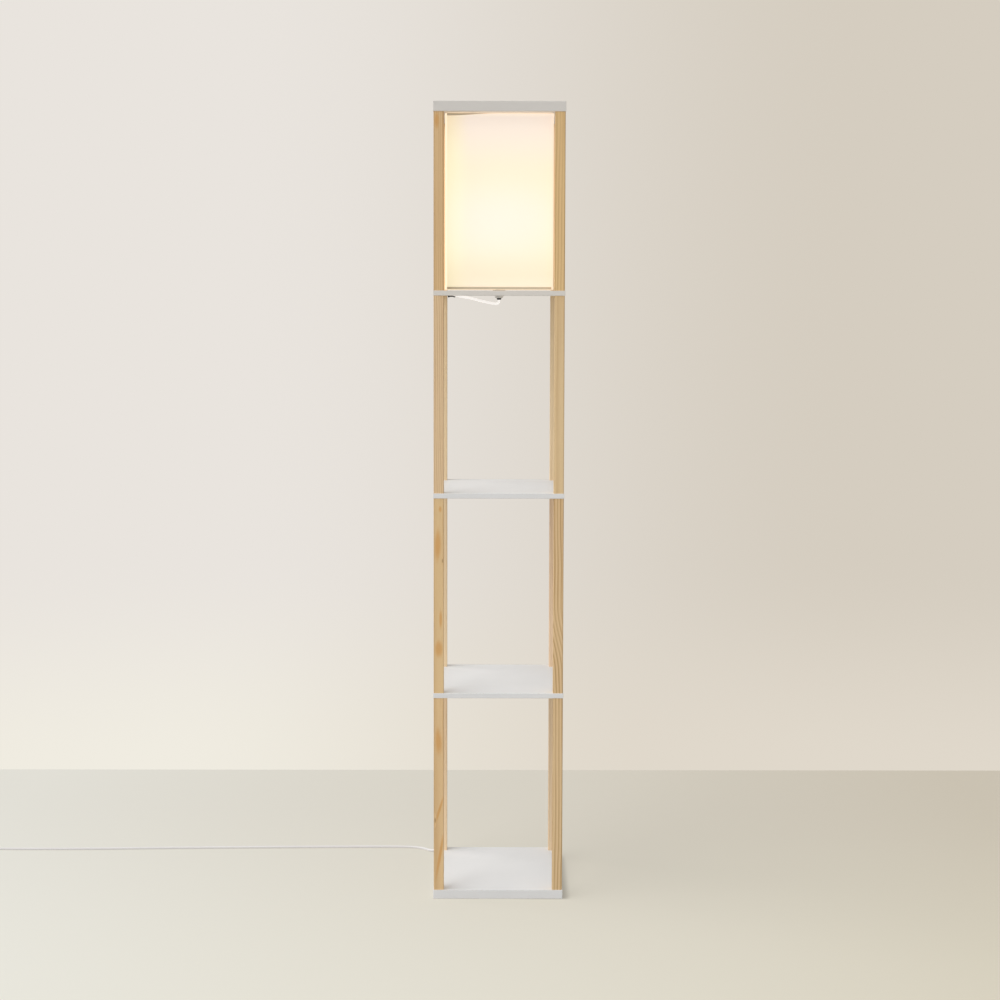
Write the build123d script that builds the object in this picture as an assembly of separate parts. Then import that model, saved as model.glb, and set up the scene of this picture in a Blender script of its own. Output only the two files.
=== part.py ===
from build123d import *
import math
import os

# Shelf floor lamp: a square pine tower with a base board, three shelves and a cap, and a square
# fabric shade in the top bay. Millimetres, +Z up, front towards -Y. The origin is the middle of the
# base board's underside, on the floor.

# Boards: base, shelves and cap
BOARD_SIDE = 260.0
BASE_THICK = 18.0
SHELF_THICK = 10.0
CAP_THICK = 20.0
BOARD_EDGE = 0.8

# Posts
POST_SIDE = 20.0
POST_INSET = 1.0
POST_EDGE = 1.2
BAY_HEIGHT = 391.0
LAMP_BAY_HEIGHT = 349.0

# Bolts, inserts and dowels of the frame
BOLT_DIA = 6.0
BOLT_HOLE_DIA = 6.5
BOLT_CHAMFER = 0.6
BOLT_HEAD_DIA = 10.0
BOLT_HEAD_HEIGHT = 6.0
BOLT_SOCKET = 5.0
BOLT_SOCKET_DEPTH = 3.0
COUNTERBORE_DIA = 11.0
COUNTERBORE_DEPTH = 7.5
BOLT_GRIP = 12.0
HANGER_GRIP = 22.0
INSERT_DIA = 9.6
INSERT_LENGTH = 14.0
INSERT_FLANGE_DIA = 12.0
INSERT_FLANGE_THICK = 1.2
INSERT_RECESS = 0.2
THREAD_FIT = 0.05
WOOD_FIT = 0.05
END_ROOM = 4.0
DOWEL_DIA = 8.0
DOWEL_LENGTH = 26.0
DOWEL_STAND = 10.0
DOWEL_CHAMFER = 0.8
DOWEL_FIT = 0.09

# Stem that carries the lampholder through the upper shelf
STEM_DIA = 10.0
STEM_BORE = 6.6
STEM_HOLE_DIA = 10.6
STEM_BELOW_NUT = 0.8
STEM_IN_HOLDER = 7.0
STEM_FIT = 0.05
LOWER_WASHER_DIA = 19.0
LOWER_WASHER_THICK = 1.2
NUT_FLATS = 14.0
NUT_HEIGHT = 3.0
UPPER_WASHER_DIA = 26.0
UPPER_WASHER_THICK = 1.5
SPACER_DIA = 15.0
SPACER_HEIGHT = 22.5

# Lampholder
HOLDER_FOOT_DIA = 24.0
HOLDER_DIA = 42.0
HOLDER_WALL = 2.2
HOLDER_COVER_HEIGHT = 16.0
HOLDER_BODY_HEIGHT = 38.0
HOLDER_FLANGE_DIA = 47.0
HOLDER_FLANGE_THICK = 2.0
HOLDER_FLANGE_LEVEL = 15.0
HOLDER_SKIRT_DIA = 39.6
HOLDER_FLOOR_LEVEL = 10.0
HOLDER_FLOOR_THICK = 2.5
SHELL_WALL = 0.5
SHELL_FIT = 0.1
CONTACT_WIDTH = 5.0
CONTACT_THICK = 0.5
CONTACT_GAP = 0.35
CONTACT_RISE = 4.0
RING_DIA = 52.0
RING_HEIGHT = 6.0
RING_FIT = 0.15
RING_NOTCHES = 12
RING_NOTCH_DIA = 5.0

# Bulb
BULB_CAP_DIA = 26.0
BULB_CAP_HEIGHT = 21.5
BULB_TIP_HEIGHT = 4.5
BULB_TIP_DIA = 9.0
BULB_RUN = 0.07
BULB_DIA = 60.0
BULB_NECK_DIA = 27.0
BULB_NECK_STRAIGHT = 1.7
BULB_SEAM_ANGLE = 35.0
DIFFUSER_WALL = 1.2
DIFFUSER_FIT = 0.1
BOARD_OF_LIGHTS_DIA = 42.0
BOARD_OF_LIGHTS_THICK = 1.6
LIGHT_CHIPS = 10
LIGHT_CHIP_SIDE = 3.0
LIGHT_CHIP_HEIGHT = 0.8
LIGHT_CHIP_CIRCLE = 30.0

# Shade and its wire frames
SHADE_TO_POST = 2.0
SHADE_WALL = 0.8
SHADE_CORNER = 5.0
SHADE_FLOOR_GAP = 2.0
SHADE_CAP_GAP = 1.6
HEM_HEIGHT = 6.0
HEM_THICK = 0.6
WIRE_DIA = 3.0
WIRE_FIT = 0.15
FITTER_FIT = 0.4
FITTER_DIA = 56.0
FITTER_THICK = 2.0
FITTER_FIT_UP = 0.1
ARM_BEND = 8.0
ARM_CLEAR = 0.3
ARM_FOOT = 12.0
FRAME_IN_HEM = 1.0

# Lead: the round two-core flex
LEAD_DIA = 5.0
LEAD_GAP = 0.5
BUSH_FLANGE_DIA = 9.4
BUSH_END_DIA = 7.4
BUSH_FLANGE_THICK = 1.4
BUSH_NOSE = 1.8
BUSH_SLEEVE = 8.0
BUSH_FIT = 0.1
LEAD_LOOP_DROP = 16.2
GROOVE_SIDE_ROOM = 1.0
GROOVE_ROOM = 0.4
GROOVE_TO_POST = 9.0

# Clamp plate and nail clips
CLAMP_LONG = 16.0
CLAMP_WIDE = 12.0
CLAMP_THICK = 2.6
CLAMP_TO_EDGE = 10.0
CLAMP_SCREW_DIA = 2.0
CLAMP_CORNER = 2.0
CLAMP_SCREW_HEAD = 3.6
CLAMP_SCREW_HEAD_THICK = 1.2
CLAMP_SCREW_LENGTH = 6.0
CLAMP_SCREW_SPACING = 12.0
CLIP_HEIGHT = 6.0
CLIP_WALL = 1.3
CLIP_FIT = 0.15
CLIP_BOSS_DIA = 5.4
CLIP_BOSS_LENGTH = 5.5
CLIP_BELOW_SHELF = 61.0
CLIP_ABOVE_BOARD = 54.0
NAIL_DIA = 1.6
NAIL_LENGTH = 16.0
NAIL_HEAD_DIA = 3.2
NAIL_HEAD_THICK = 0.8
NAIL_CLEAR = 0.2

# Foot switch
SWITCH_LONG = 78.0
SWITCH_WIDE = 36.0
SWITCH_LOWER = 10.0
SWITCH_UPPER = 11.0
SWITCH_WALL = 2.0
SWITCH_DOME = 4.0
BUTTON_DIA = 17.0
BUTTON_STAND = 4.0
BUTTON_TRAVEL = 3.0
BUTTON_FLANGE_DIA = 20.0
BUTTON_FLANGE_THICK = 1.6
BUTTON_RUN = 0.08
BUTTON_STEM_DIA = 5.0
BUTTON_STOP_GAP = 0.1
BUTTON_CROWN = 1.5
MODULE_LONG = 20.0
MODULE_WIDE = 14.0
MODULE_HEIGHT = 9.5
SWITCH_SCREW_DIA = 3.0
SWITCH_SCREW_HEAD = 5.4
SWITCH_SCREW_HEAD_THICK = 0.8
SWITCH_SCREW_SPACING = 50.0
SWITCH_SCREW_REACH = 13.0
SWITCH_POST_DIA = 6.4
SCREW_ROOM = 0.4
POST_SEAT = 0.1

# Strain reliefs of the switch and the plug
RELIEF_LENGTH = 20.0
RELIEF_ROOT_DIA = 9.0
RELIEF_TIP_DIA = 7.0
RELIEF_PITCH = 3.6
RELIEF_GROOVE = 1.2
RELIEF_GROOVE_DEPTH = 0.7

# Coil of the put-away length, and its tie
COIL_OUTER_RADIUS = 30.3
COIL_PITCH = 5.6
COIL_HALF_TURNS = 7
GAP_STEP = 1.5
TIE_THICK = 0.8
TIE_GAP = 0.3
TIE_WIDTH = 5.0
TIE_TAIL = 9.0

# Plug
PLUG_WIDE = 26.0
PLUG_LONG = 30.0
PLUG_WAIST = 21.0
PLUG_NECK = 13.0
PLUG_SHOULDER = 8.0
PLUG_COLLAR = 6.0
PLUG_CORNER = 4.0
GRIP_GROOVES = 3
GRIP_PITCH = 4.0
GRIP_DIA = 3.0
GRIP_DEPTH = 0.8
BLADE_SPACING = 12.7
BLADE_LENGTH = 17.5
BLADE_THICK = 1.5
BLADE_WIDE = 6.35
NEUTRAL_WIDE = 7.9
BLADE_ROOT = 4.0
BLADE_HOLE_DIA = 3.2
BLADE_HOLE_TO_TIP = 4.3
BLADE_FIT = 0.05
BLADE_CHAMFER = 1.2

# Levels and centres that follow from these sizes
HALF = BOARD_SIDE / 2
POST_CENTRE = HALF - POST_INSET - POST_SIDE / 2
POST_INNER = POST_CENTRE - POST_SIDE / 2
POST_BACK = POST_CENTRE + POST_SIDE / 2
SHADE_SIDE = 2 * (POST_INNER - SHADE_TO_POST)
BASE_TOP = BASE_THICK
LOWER_SHELF = BASE_TOP + BAY_HEIGHT
MIDDLE_SHELF = LOWER_SHELF + SHELF_THICK + BAY_HEIGHT
UPPER_SHELF = MIDDLE_SHELF + SHELF_THICK + BAY_HEIGHT
SHADE_FLOOR = UPPER_SHELF + SHELF_THICK
CAP_LEVEL = SHADE_FLOOR + LAMP_BAY_HEIGHT
HOLDER_LEVEL = SHADE_FLOOR + UPPER_WASHER_THICK + SPACER_HEIGHT
HOLDER_BODY_LEVEL = HOLDER_LEVEL + HOLDER_COVER_HEIGHT
HOLDER_FLANGE_TOP = HOLDER_BODY_LEVEL + HOLDER_FLANGE_LEVEL + HOLDER_FLANGE_THICK
HOLDER_FLOOR_TOP = HOLDER_BODY_LEVEL + HOLDER_FLOOR_LEVEL + HOLDER_FLOOR_THICK
HOLDER_RIM = HOLDER_BODY_LEVEL + HOLDER_BODY_HEIGHT
SHELL_BORE = BULB_CAP_DIA + 2 * BULB_RUN
SHELL_DIA = SHELL_BORE + 2 * SHELL_WALL
BULB_TIP_LEVEL = HOLDER_FLOOR_TOP + CONTACT_RISE
NUT_LEVEL = UPPER_SHELF - LOWER_WASHER_THICK - NUT_HEIGHT
STEM_FOOT = NUT_LEVEL - STEM_BELOW_NUT
LEAD_RADIUS = LEAD_DIA / 2
LEAD_BACK = HALF + LEAD_RADIUS + LEAD_GAP
LEAD_LEFT = -POST_CENTRE
LEAD_FOOT = BASE_TOP + CLIP_ABOVE_BOARD - CLIP_HEIGHT / 2
GROOVE_X = -(POST_INNER - GROOVE_TO_POST)
GROOVE_WIDTH = LEAD_DIA + 2 * GROOVE_SIDE_ROOM
GROOVE_DEPTH = LEAD_DIA + 2 * GROOVE_ROOM
GROOVE_LEAD = UPPER_SHELF + GROOVE_DEPTH / 2
CLAMP_Y = HALF - CLAMP_TO_EDGE
SWITCH_LEAD_LEVEL = SWITCH_LOWER / 2
SWITCH_TOP = SWITCH_LOWER + SWITCH_UPPER
MODULE_TOP = SWITCH_WALL + MODULE_HEIGHT
BUTTON_ROOF = SWITCH_TOP - SWITCH_WALL - BUTTON_STOP_GAP
SWITCH_SCREW_FACE = SWITCH_WALL / 2
COIL_LEVEL = TIE_THICK + TIE_GAP + LEAD_RADIUS
PLUG_LEVEL = COIL_LEVEL + COIL_PITCH

CORNERS = {
    "front_left": (-1, -1),
    "front_right": (1, -1),
    "rear_left": (-1, 1),
    "rear_right": (1, 1),
}
TIERS = {
    "bottom_bay": (BASE_TOP, LOWER_SHELF),
    "middle_bay": (LOWER_SHELF + SHELF_THICK, MIDDLE_SHELF),
    "upper_bay": (MIDDLE_SHELF + SHELF_THICK, UPPER_SHELF),
    "lamp_bay": (SHADE_FLOOR, CAP_LEVEL),
}
SHELVES = {"lower_shelf": LOWER_SHELF, "middle_shelf": MIDDLE_SHELF, "upper_shelf": UPPER_SHELF}

# Route of the held lead: down out of the holder, a shallow loop, into the groove under the upper
# shelf, round its rear edge and down behind the rear left post.
LOOP_LEVEL = UPPER_SHELF - LEAD_LOOP_DROP
HELD_ROUTE = [
    (0, 0, HOLDER_LEVEL + STEM_IN_HOLDER + 3),
    (0, 0, LOOP_LEVEL),
    (-10.5, 11.6, LOOP_LEVEL + 0.2),
    (-23, 25.5, LOOP_LEVEL + 2.4),
    (-39, 43, UPPER_SHELF - 10.2),
    (-58, 61, UPPER_SHELF - 5.1),
    (GROOVE_X + 23, HALF - 47, UPPER_SHELF - 2.2),
    (GROOVE_X + 9, HALF - 33, UPPER_SHELF + 1.4),
    (GROOVE_X, HALF - 18, GROOVE_LEAD),
    (GROOVE_X - 1, HALF + 7, GROOVE_LEAD),
    (GROOVE_X - 9, HALF + 18, GROOVE_LEAD - 0.8),
    (LEAD_LEFT + 0.5, LEAD_BACK + 14.5, UPPER_SHELF - 9),
    (LEAD_LEFT - 1.5, LEAD_BACK + 6.5, UPPER_SHELF - 27),
    (LEAD_LEFT, LEAD_BACK, UPPER_SHELF - 47),
    (LEAD_LEFT, LEAD_BACK, LEAD_FOOT),
]

# Route of the free lead: from the last clip to the floor, to the left, and round to the switch.
FLOOR = LEAD_RADIUS
FLOOR_ROUTE = [
    (LEAD_LEFT, LEAD_BACK, LEAD_FOOT),
    (LEAD_LEFT, LEAD_BACK, LEAD_FOOT - 15),
    (LEAD_LEFT - 1.5, LEAD_BACK + 3, LEAD_FOOT - 32),
    (-124, 140.5, 20),
    (-132, 145.5, 6.5),
    (-145, 151.5, FLOOR),
    (-161, 166.5, FLOOR),
    (-183, 176, FLOOR),
    (-226, 177.9, FLOOR),
    (-290, 177.3, FLOOR),
    (-362, 176.3, FLOOR),
    (-430, 175.1, FLOOR),
    (-503, 173.6, FLOOR),
    (-570, 172.0, FLOOR),
    (-642, 170.0, FLOOR),
    (-714, 167.9, FLOOR),
    (-780, 165.7, FLOOR),
    (-852, 163.2, FLOOR),
    (-921, 161.3, FLOOR),
    (-990, 160.5, FLOOR),
    (-1050, 160.8, FLOOR),
    (-1106, 161.5, FLOOR),
    (-1139.5, 147.5, FLOOR),
    (-1155, 122, FLOOR),
    (-1156, 101, SWITCH_LEAD_LEVEL),
    (-1156, 84, SWITCH_LEAD_LEVEL),
]
SWITCH_X = FLOOR_ROUTE[-1][0]
SWITCH_END = FLOOR_ROUTE[-1][1]
SWITCH_Y = SWITCH_END - RELIEF_LENGTH - SWITCH_LONG / 2
TAIL_START = SWITCH_Y - SWITCH_LONG / 2 - RELIEF_LENGTH
TAIL_LENGTH = 44.0
COIL_START = TAIL_START - TAIL_LENGTH
COIL_X = SWITCH_X + COIL_OUTER_RADIUS
COIL_RUN = LEAD_DIA
TAIL_ROUTE = [
    (SWITCH_X, TAIL_START, SWITCH_LEAD_LEVEL),
    (SWITCH_X, TAIL_START - 14, SWITCH_LEAD_LEVEL),
    (SWITCH_X, TAIL_START - 29, COIL_LEVEL),
    (SWITCH_X, COIL_START, COIL_LEVEL),
]

pieces = {}


def keep(name, *solids):
    """Notes the solids of one named piece."""
    pieces[name] = Compound(children=list(solids)) if len(solids) > 1 else solids[0]


def cylinder(diameter, low, high, x=0.0, y=0.0):
    """An upright cylinder between two levels."""
    return Pos(x, y, low) * Cylinder(
        diameter / 2, high - low, align=(Align.CENTER, Align.CENTER, Align.MIN)
    )


def slab(wide, deep, low, high, x=0.0, y=0.0):
    """An upright block between two levels."""
    return Pos(x, y, low) * Box(
        wide, deep, high - low, align=(Align.CENTER, Align.CENTER, Align.MIN)
    )


def tube(outer, bore, low, high, x=0.0, y=0.0):
    """An upright tube between two levels."""
    return cylinder(outer, low, high, x, y) - cylinder(bore, low - 1, high + 1, x, y)


def turned(*points):
    """A solid turned about the Z axis from the (radius, level) points of its outline."""
    return revolve(Plane.XZ * make_face(Polyline(*points, close=True)), Axis.Z)


def post_centres():
    """The plan centre of each post."""
    return [(x * POST_CENTRE, y * POST_CENTRE) for x, y in CORNERS.values()]


# Boards


def board(low, thick):
    """A square board with every edge eased."""
    blank = slab(BOARD_SIDE, BOARD_SIDE, low, low + thick)
    return fillet(blank.edges(), BOARD_EDGE)


def base_board():
    """The base, with a counterbored hole under each post."""
    base = board(0, BASE_THICK)
    for x, y in post_centres():
        base -= cylinder(BOLT_HOLE_DIA, -1, BASE_TOP + 1, x, y)
        base -= cylinder(COUNTERBORE_DIA, -1, COUNTERBORE_DEPTH, x, y)
    return base


def shelf(low):
    """A shelf with a bolt hole over each post."""
    plate = board(low, SHELF_THICK)
    for x, y in post_centres():
        plate -= cylinder(BOLT_HOLE_DIA, low - 1, low + SHELF_THICK + 1, x, y)
    return plate


def lead_groove():
    """The groove that takes the lead out under the upper shelf's rear edge."""
    mouth = (GROOVE_X, HALF + GROOVE_WIDTH)
    start, turn, straight = (point[:2] for point in HELD_ROUTE[6:9])
    groove = None
    for a, b in ((start, turn), (turn, straight), (straight, mouth)):
        way = Vector(*b) - Vector(*a)
        middle = (Vector(*a) + Vector(*b)) / 2
        heading = math.degrees(math.atan2(way.Y, way.X))
        outline = SlotCenterToCenter(way.length, GROOVE_WIDTH, rotation=heading)
        part = extrude(Pos(middle.X, middle.Y, UPPER_SHELF - 1) * outline, GROOVE_DEPTH + 1)
        groove = part if groove is None else groove + part
    return groove


def clamp_screw_centres():
    """The plan centres of the two screws that hold the clamp plate."""
    return [(GROOVE_X + side * CLAMP_SCREW_SPACING / 2, CLAMP_Y) for side in (-1, 1)]


def upper_shelf():
    """The shelf under the shade, with the stem's hole and the lead's groove."""
    plate = shelf(UPPER_SHELF)
    plate -= cylinder(STEM_HOLE_DIA, UPPER_SHELF - 1, SHADE_FLOOR + 1)
    plate -= lead_groove()
    hole = CLAMP_SCREW_DIA + 2 * WOOD_FIT
    depth = CLAMP_SCREW_LENGTH - CLAMP_THICK + 1
    for x, y in clamp_screw_centres():
        plate -= cylinder(hole, UPPER_SHELF - 1, UPPER_SHELF + depth, x, y)
    return plate


def top_cap():
    """The cap, with a blind hole for each dowel."""
    cap = board(CAP_LEVEL, CAP_THICK)
    for x, y in post_centres():
        cap -= cylinder(DOWEL_DIA + 2 * DOWEL_FIT, CAP_LEVEL - 1, CAP_LEVEL + DOWEL_STAND + 1, x, y)
    return cap


# Posts and what joins them


def insert_pocket(end, into, x, y):
    """The stepped hole for an insert in a post's end; into is 1 upwards, -1 downwards."""
    flange = INSERT_FLANGE_THICK + INSERT_RECESS
    deep = INSERT_LENGTH + INSERT_RECESS + END_ROOM
    levels = sorted((end - into, end + into * flange))
    bores = sorted((end - into, end + into * deep))
    pocket = cylinder(INSERT_FLANGE_DIA + 2 * WOOD_FIT, *levels, x, y)
    return pocket + cylinder(INSERT_DIA + 2 * WOOD_FIT, *bores, x, y)


def post(tier, corner):
    """One post, bored at both ends for the tier's fasteners."""
    low, high = TIERS[tier]
    x, y = (side * POST_CENTRE for side in CORNERS[corner])
    stick = slab(POST_SIDE, POST_SIDE, low, high, x, y)
    stick = fillet(stick.edges().filter_by(Axis.Z), POST_EDGE)
    if tier == "bottom_bay":
        stick -= insert_pocket(low, 1, x, y)
    else:
        stick -= cylinder(BOLT_DIA + 2 * WOOD_FIT, low - 1, low + HANGER_GRIP + 1, x, y)
    if tier == "lamp_bay":
        sunk = DOWEL_LENGTH - DOWEL_STAND
        stick -= cylinder(DOWEL_DIA + 2 * WOOD_FIT, high - sunk - 1, high + 1, x, y)
    else:
        stick -= insert_pocket(high, -1, x, y)
    if corner == "rear_left":
        for level in clip_levels(tier):
            stick -= nail_body(level, NAIL_DIA + 2 * WOOD_FIT, 0)
    return stick


def insert(end, into, x, y):
    """A flanged threaded insert, let into a post's end; its thread is a plain bore."""
    start = end + into * INSERT_RECESS
    flange = sorted((start, start + into * INSERT_FLANGE_THICK))
    body = sorted((start, start + into * INSERT_LENGTH))
    blank = cylinder(INSERT_FLANGE_DIA, *flange, x, y) + cylinder(INSERT_DIA, *body, x, y)
    return blank - cylinder(BOLT_DIA + 2 * THREAD_FIT, body[0] - 1, body[1] + 1, x, y)


def post_inserts():
    """Every insert: one in each foot of the bottom tier, one in each head below a shelf."""
    found = []
    for x, y in post_centres():
        found.append(insert(BASE_TOP, 1, x, y))
        found += [insert(level, -1, x, y) for level in SHELVES.values()]
    return found


def base_bolt(x, y):
    """A socket-head bolt, head down in the base's counterbore."""
    head_low, head_top = COUNTERBORE_DEPTH - BOLT_HEAD_HEIGHT, COUNTERBORE_DEPTH
    head = cylinder(BOLT_HEAD_DIA, head_low, head_top, x, y)
    hexagon = RegularPolygon(BOLT_SOCKET / 2, 6, major_radius=False)
    socket = extrude(Pos(x, y, head_low) * hexagon, BOLT_SOCKET_DEPTH)
    shank = cylinder(BOLT_DIA, head_top, BASE_TOP + BOLT_GRIP, x, y)
    shank = chamfer(shank.edges().group_by(Axis.Z)[-1], BOLT_CHAMFER)
    return head + shank - socket


def hanger_bolt(level, x, y):
    """A stud from the insert below a shelf, through the shelf, into the post above."""
    rod = cylinder(BOLT_DIA, level - BOLT_GRIP, level + SHELF_THICK + HANGER_GRIP, x, y)
    return chamfer(rod.edges().group_by(Axis.Z)[-1], BOLT_CHAMFER)


def cap_dowel(x, y):
    """A dowel standing out of a post's head, into the cap."""
    top = CAP_LEVEL + DOWEL_STAND
    peg = cylinder(DOWEL_DIA, top - DOWEL_LENGTH, top, x, y)
    return chamfer(peg.edges().filter_by(GeomType.CIRCLE), DOWEL_CHAMFER)


# Lampholder on its stem


def stem():
    """The threaded tube that clamps holder, spacer and shelf together."""
    return tube(STEM_DIA, STEM_BORE, STEM_FOOT, HOLDER_LEVEL + STEM_IN_HOLDER)


def stem_nut():
    """The hexagon nut under the shelf."""
    hexagon = RegularPolygon(NUT_FLATS / 2, 6, major_radius=False)
    blank = extrude(Pos(0, 0, NUT_LEVEL) * hexagon, NUT_HEIGHT)
    return blank - cylinder(STEM_DIA + 2 * STEM_FIT, NUT_LEVEL - 1, NUT_LEVEL + NUT_HEIGHT + 1)


def lead_bush():
    """The black bush in the stem's foot, a sleeve with a flange and a tapered nose."""
    bore = LEAD_RADIUS + BUSH_FIT
    sleeve = STEM_BORE / 2 - BUSH_FIT
    flange = BUSH_FLANGE_DIA / 2
    low = STEM_FOOT - BUSH_FLANGE_THICK - BUSH_NOSE
    return turned(
        (bore, low),
        (BUSH_END_DIA / 2, low),
        (flange, STEM_FOOT - BUSH_FLANGE_THICK),
        (flange, STEM_FOOT),
        (sleeve, STEM_FOOT),
        (sleeve, STEM_FOOT + BUSH_SLEEVE),
        (bore, STEM_FOOT + BUSH_SLEEVE),
    )


def holder_cover():
    """The lampholder's bottom cover: a cup that the stem screws into."""
    foot, outer = HOLDER_FOOT_DIA / 2, HOLDER_DIA / 2
    low, top = HOLDER_LEVEL, HOLDER_BODY_LEVEL
    bore = STEM_DIA / 2 + STEM_FIT
    outside = [Line((bore, low), (foot, low))]
    outside.append(Spline((foot, low), (outer, top - 3), tangents=[(1, 0.35), (0, 1)]))
    inner_foot = foot - HOLDER_WALL
    inner = outer - HOLDER_WALL
    floor = low + STEM_IN_HOLDER - 1
    outline = outside + [
        Line((outer, top - 3), (outer, top)),
        Line((outer, top), (inner, top)),
        Line((inner, top), (inner_foot, floor)),
        Line((inner_foot, floor), (bore, floor)),
        Line((bore, floor), (bore, low)),
    ]
    return revolve(Plane.XZ * make_face(outline), Axis.Z)


def holder_body():
    """The insulating body: a flange and a threaded skirt for the shade ring, a floor inside."""
    low = HOLDER_BODY_LEVEL
    outer, skirt = HOLDER_DIA / 2, HOLDER_SKIRT_DIA / 2
    flange_low = low + HOLDER_FLANGE_LEVEL
    bore = SHELL_DIA / 2 + SHELL_FIT
    lower_bore = outer - HOLDER_WALL
    return turned(
        (lower_bore, low),
        (outer, low),
        (outer, flange_low),
        (HOLDER_FLANGE_DIA / 2, flange_low),
        (HOLDER_FLANGE_DIA / 2, HOLDER_FLANGE_TOP),
        (skirt, HOLDER_FLANGE_TOP),
        (skirt, HOLDER_RIM),
        (bore, HOLDER_RIM),
        (bore, HOLDER_FLOOR_TOP),
        (0, HOLDER_FLOOR_TOP),
        (0, HOLDER_FLOOR_TOP - HOLDER_FLOOR_THICK),
        (lower_bore, HOLDER_FLOOR_TOP - HOLDER_FLOOR_THICK),
    )


def screw_shell():
    """The metal shell that takes the bulb's cap, standing on the body's floor."""
    low, high = HOLDER_FLOOR_TOP, HOLDER_RIM - 1
    lip = SHELL_BORE / 2 - 3
    return turned(
        (lip, low),
        (SHELL_DIA / 2, low),
        (SHELL_DIA / 2, high),
        (SHELL_BORE / 2, high),
        (SHELL_BORE / 2, low + SHELL_WALL),
        (lip, low + SHELL_WALL),
    )


def centre_contact():
    """The sprung centre contact: a foot on the floor and a leaf that rises to the bulb's tip."""
    half, thick = BULB_TIP_DIA / 2, CONTACT_THICK
    low = HOLDER_FLOOR_TOP
    high = BULB_TIP_LEVEL - CONTACT_GAP
    under = [(-half, low), (half, low), (half - 1, low + thick), (-half + 2, low + thick)]
    leaf = [(0, high - thick), (half, high - thick), (half, high), (-0.3, high), (-half, low + thick)]
    side = make_face(Polyline(*(under + leaf), close=True))
    return extrude(Plane.XZ * side, CONTACT_WIDTH / 2, both=True)


def shade_ring():
    """The notched ring that holds the shade's fitter down on the holder's flange."""
    low = HOLDER_FLANGE_TOP + FITTER_FIT_UP + FITTER_THICK + FITTER_FIT_UP
    ring = tube(RING_DIA, HOLDER_SKIRT_DIA + 2 * RING_FIT, low, low + RING_HEIGHT)
    radius = RING_DIA / 2 + RING_NOTCH_DIA / 4
    for place in PolarLocations(radius, RING_NOTCHES):
        ring -= place * cylinder(RING_NOTCH_DIA, low - 1, low + RING_HEIGHT + 1)
    return ring


# Bulb


def bulb_levels():
    """The cap's top, the neck curve's foot and radius, the globe's centre and the seam."""
    angle = math.radians(BULB_SEAM_ANGLE)
    globe = BULB_DIA / 2
    cap_top = BULB_TIP_LEVEL + BULB_TIP_HEIGHT + BULB_CAP_HEIGHT
    foot = cap_top + BULB_NECK_STRAIGHT
    bend = (globe * math.cos(angle) - BULB_NECK_DIA / 2) / (1 - math.cos(angle))
    seam = foot + bend * math.sin(angle)
    centre = seam + globe * math.sin(angle)
    return cap_top, foot, bend, centre, seam


def bulb_housing():
    """The bulb's body, from the screw cap up its flared neck to the seam."""
    cap_top, foot, bend, centre, seam = bulb_levels()
    neck = BULB_NECK_DIA / 2
    rim = BULB_DIA / 2 * math.cos(math.radians(BULB_SEAM_ANGLE))
    half = math.radians(BULB_SEAM_ANGLE / 2)
    middle = (neck + bend * (1 - math.cos(half)), foot + bend * math.sin(half))
    outline = [
        Line((0, cap_top), (neck, cap_top)),
        Line((neck, cap_top), (neck, foot)),
        ThreePointArc((neck, foot), middle, (rim, seam)),
        Line((rim, seam), (0, seam)),
        Line((0, seam), (0, cap_top)),
    ]
    return revolve(Plane.XZ * make_face(outline), Axis.Z)


def bulb_diffuser():
    """The frosted dome above the seam, a thin shell."""
    centre, seam = bulb_levels()[3:]
    low = seam + DIFFUSER_FIT
    dome = Pos(0, 0, centre) * Sphere(BULB_DIA / 2)
    dome -= Pos(0, 0, centre) * Sphere(BULB_DIA / 2 - DIFFUSER_WALL)
    return dome - slab(BULB_DIA * 2, BULB_DIA * 2, low - BULB_DIA, low)


def light_board():
    """The round board on top of the housing, with a ring of chips."""
    seam = bulb_levels()[4]
    board_top = seam + BOARD_OF_LIGHTS_THICK
    disc = cylinder(BOARD_OF_LIGHTS_DIA, seam, board_top)
    for place in PolarLocations(LIGHT_CHIP_CIRCLE / 2, LIGHT_CHIPS):
        disc += place * slab(LIGHT_CHIP_SIDE, LIGHT_CHIP_SIDE, board_top, board_top + LIGHT_CHIP_HEIGHT)
    return disc


def bulb_cap():
    """The metal screw cap; its thread is a plain cylinder."""
    low = BULB_TIP_LEVEL + BULB_TIP_HEIGHT
    return cylinder(BULB_CAP_DIA, low, low + BULB_CAP_HEIGHT)


def bulb_contact():
    """The cap's insulating cone and tip."""
    low, high = BULB_TIP_LEVEL, BULB_TIP_LEVEL + BULB_TIP_HEIGHT
    return turned((0, low), (BULB_TIP_DIA / 2, low), (BULB_CAP_DIA / 2 - 2, high), (0, high))


# Shade


def square_tube(side, corner, low, high):
    """A solid square column with round corners between two levels."""
    return extrude(Pos(0, 0, low) * RectangleRounded(side, side, corner), high - low)


def shade_fabric():
    """The shade: four flat walls in one sheet, with a rolled hem at the top and the bottom."""
    low, high = SHADE_FLOOR + SHADE_FLOOR_GAP, CAP_LEVEL - SHADE_CAP_GAP
    walls = square_tube(SHADE_SIDE, SHADE_CORNER, low, high)
    hem_side, hem_corner = SHADE_SIDE + 2 * HEM_THICK, SHADE_CORNER + HEM_THICK
    walls += square_tube(hem_side, hem_corner, low, low + HEM_HEIGHT)
    walls += square_tube(hem_side, hem_corner, high - HEM_HEIGHT, high)
    inside = SHADE_SIDE - 2 * SHADE_WALL
    return walls - square_tube(inside, SHADE_CORNER - SHADE_WALL, low - 1, high + 1)


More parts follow.
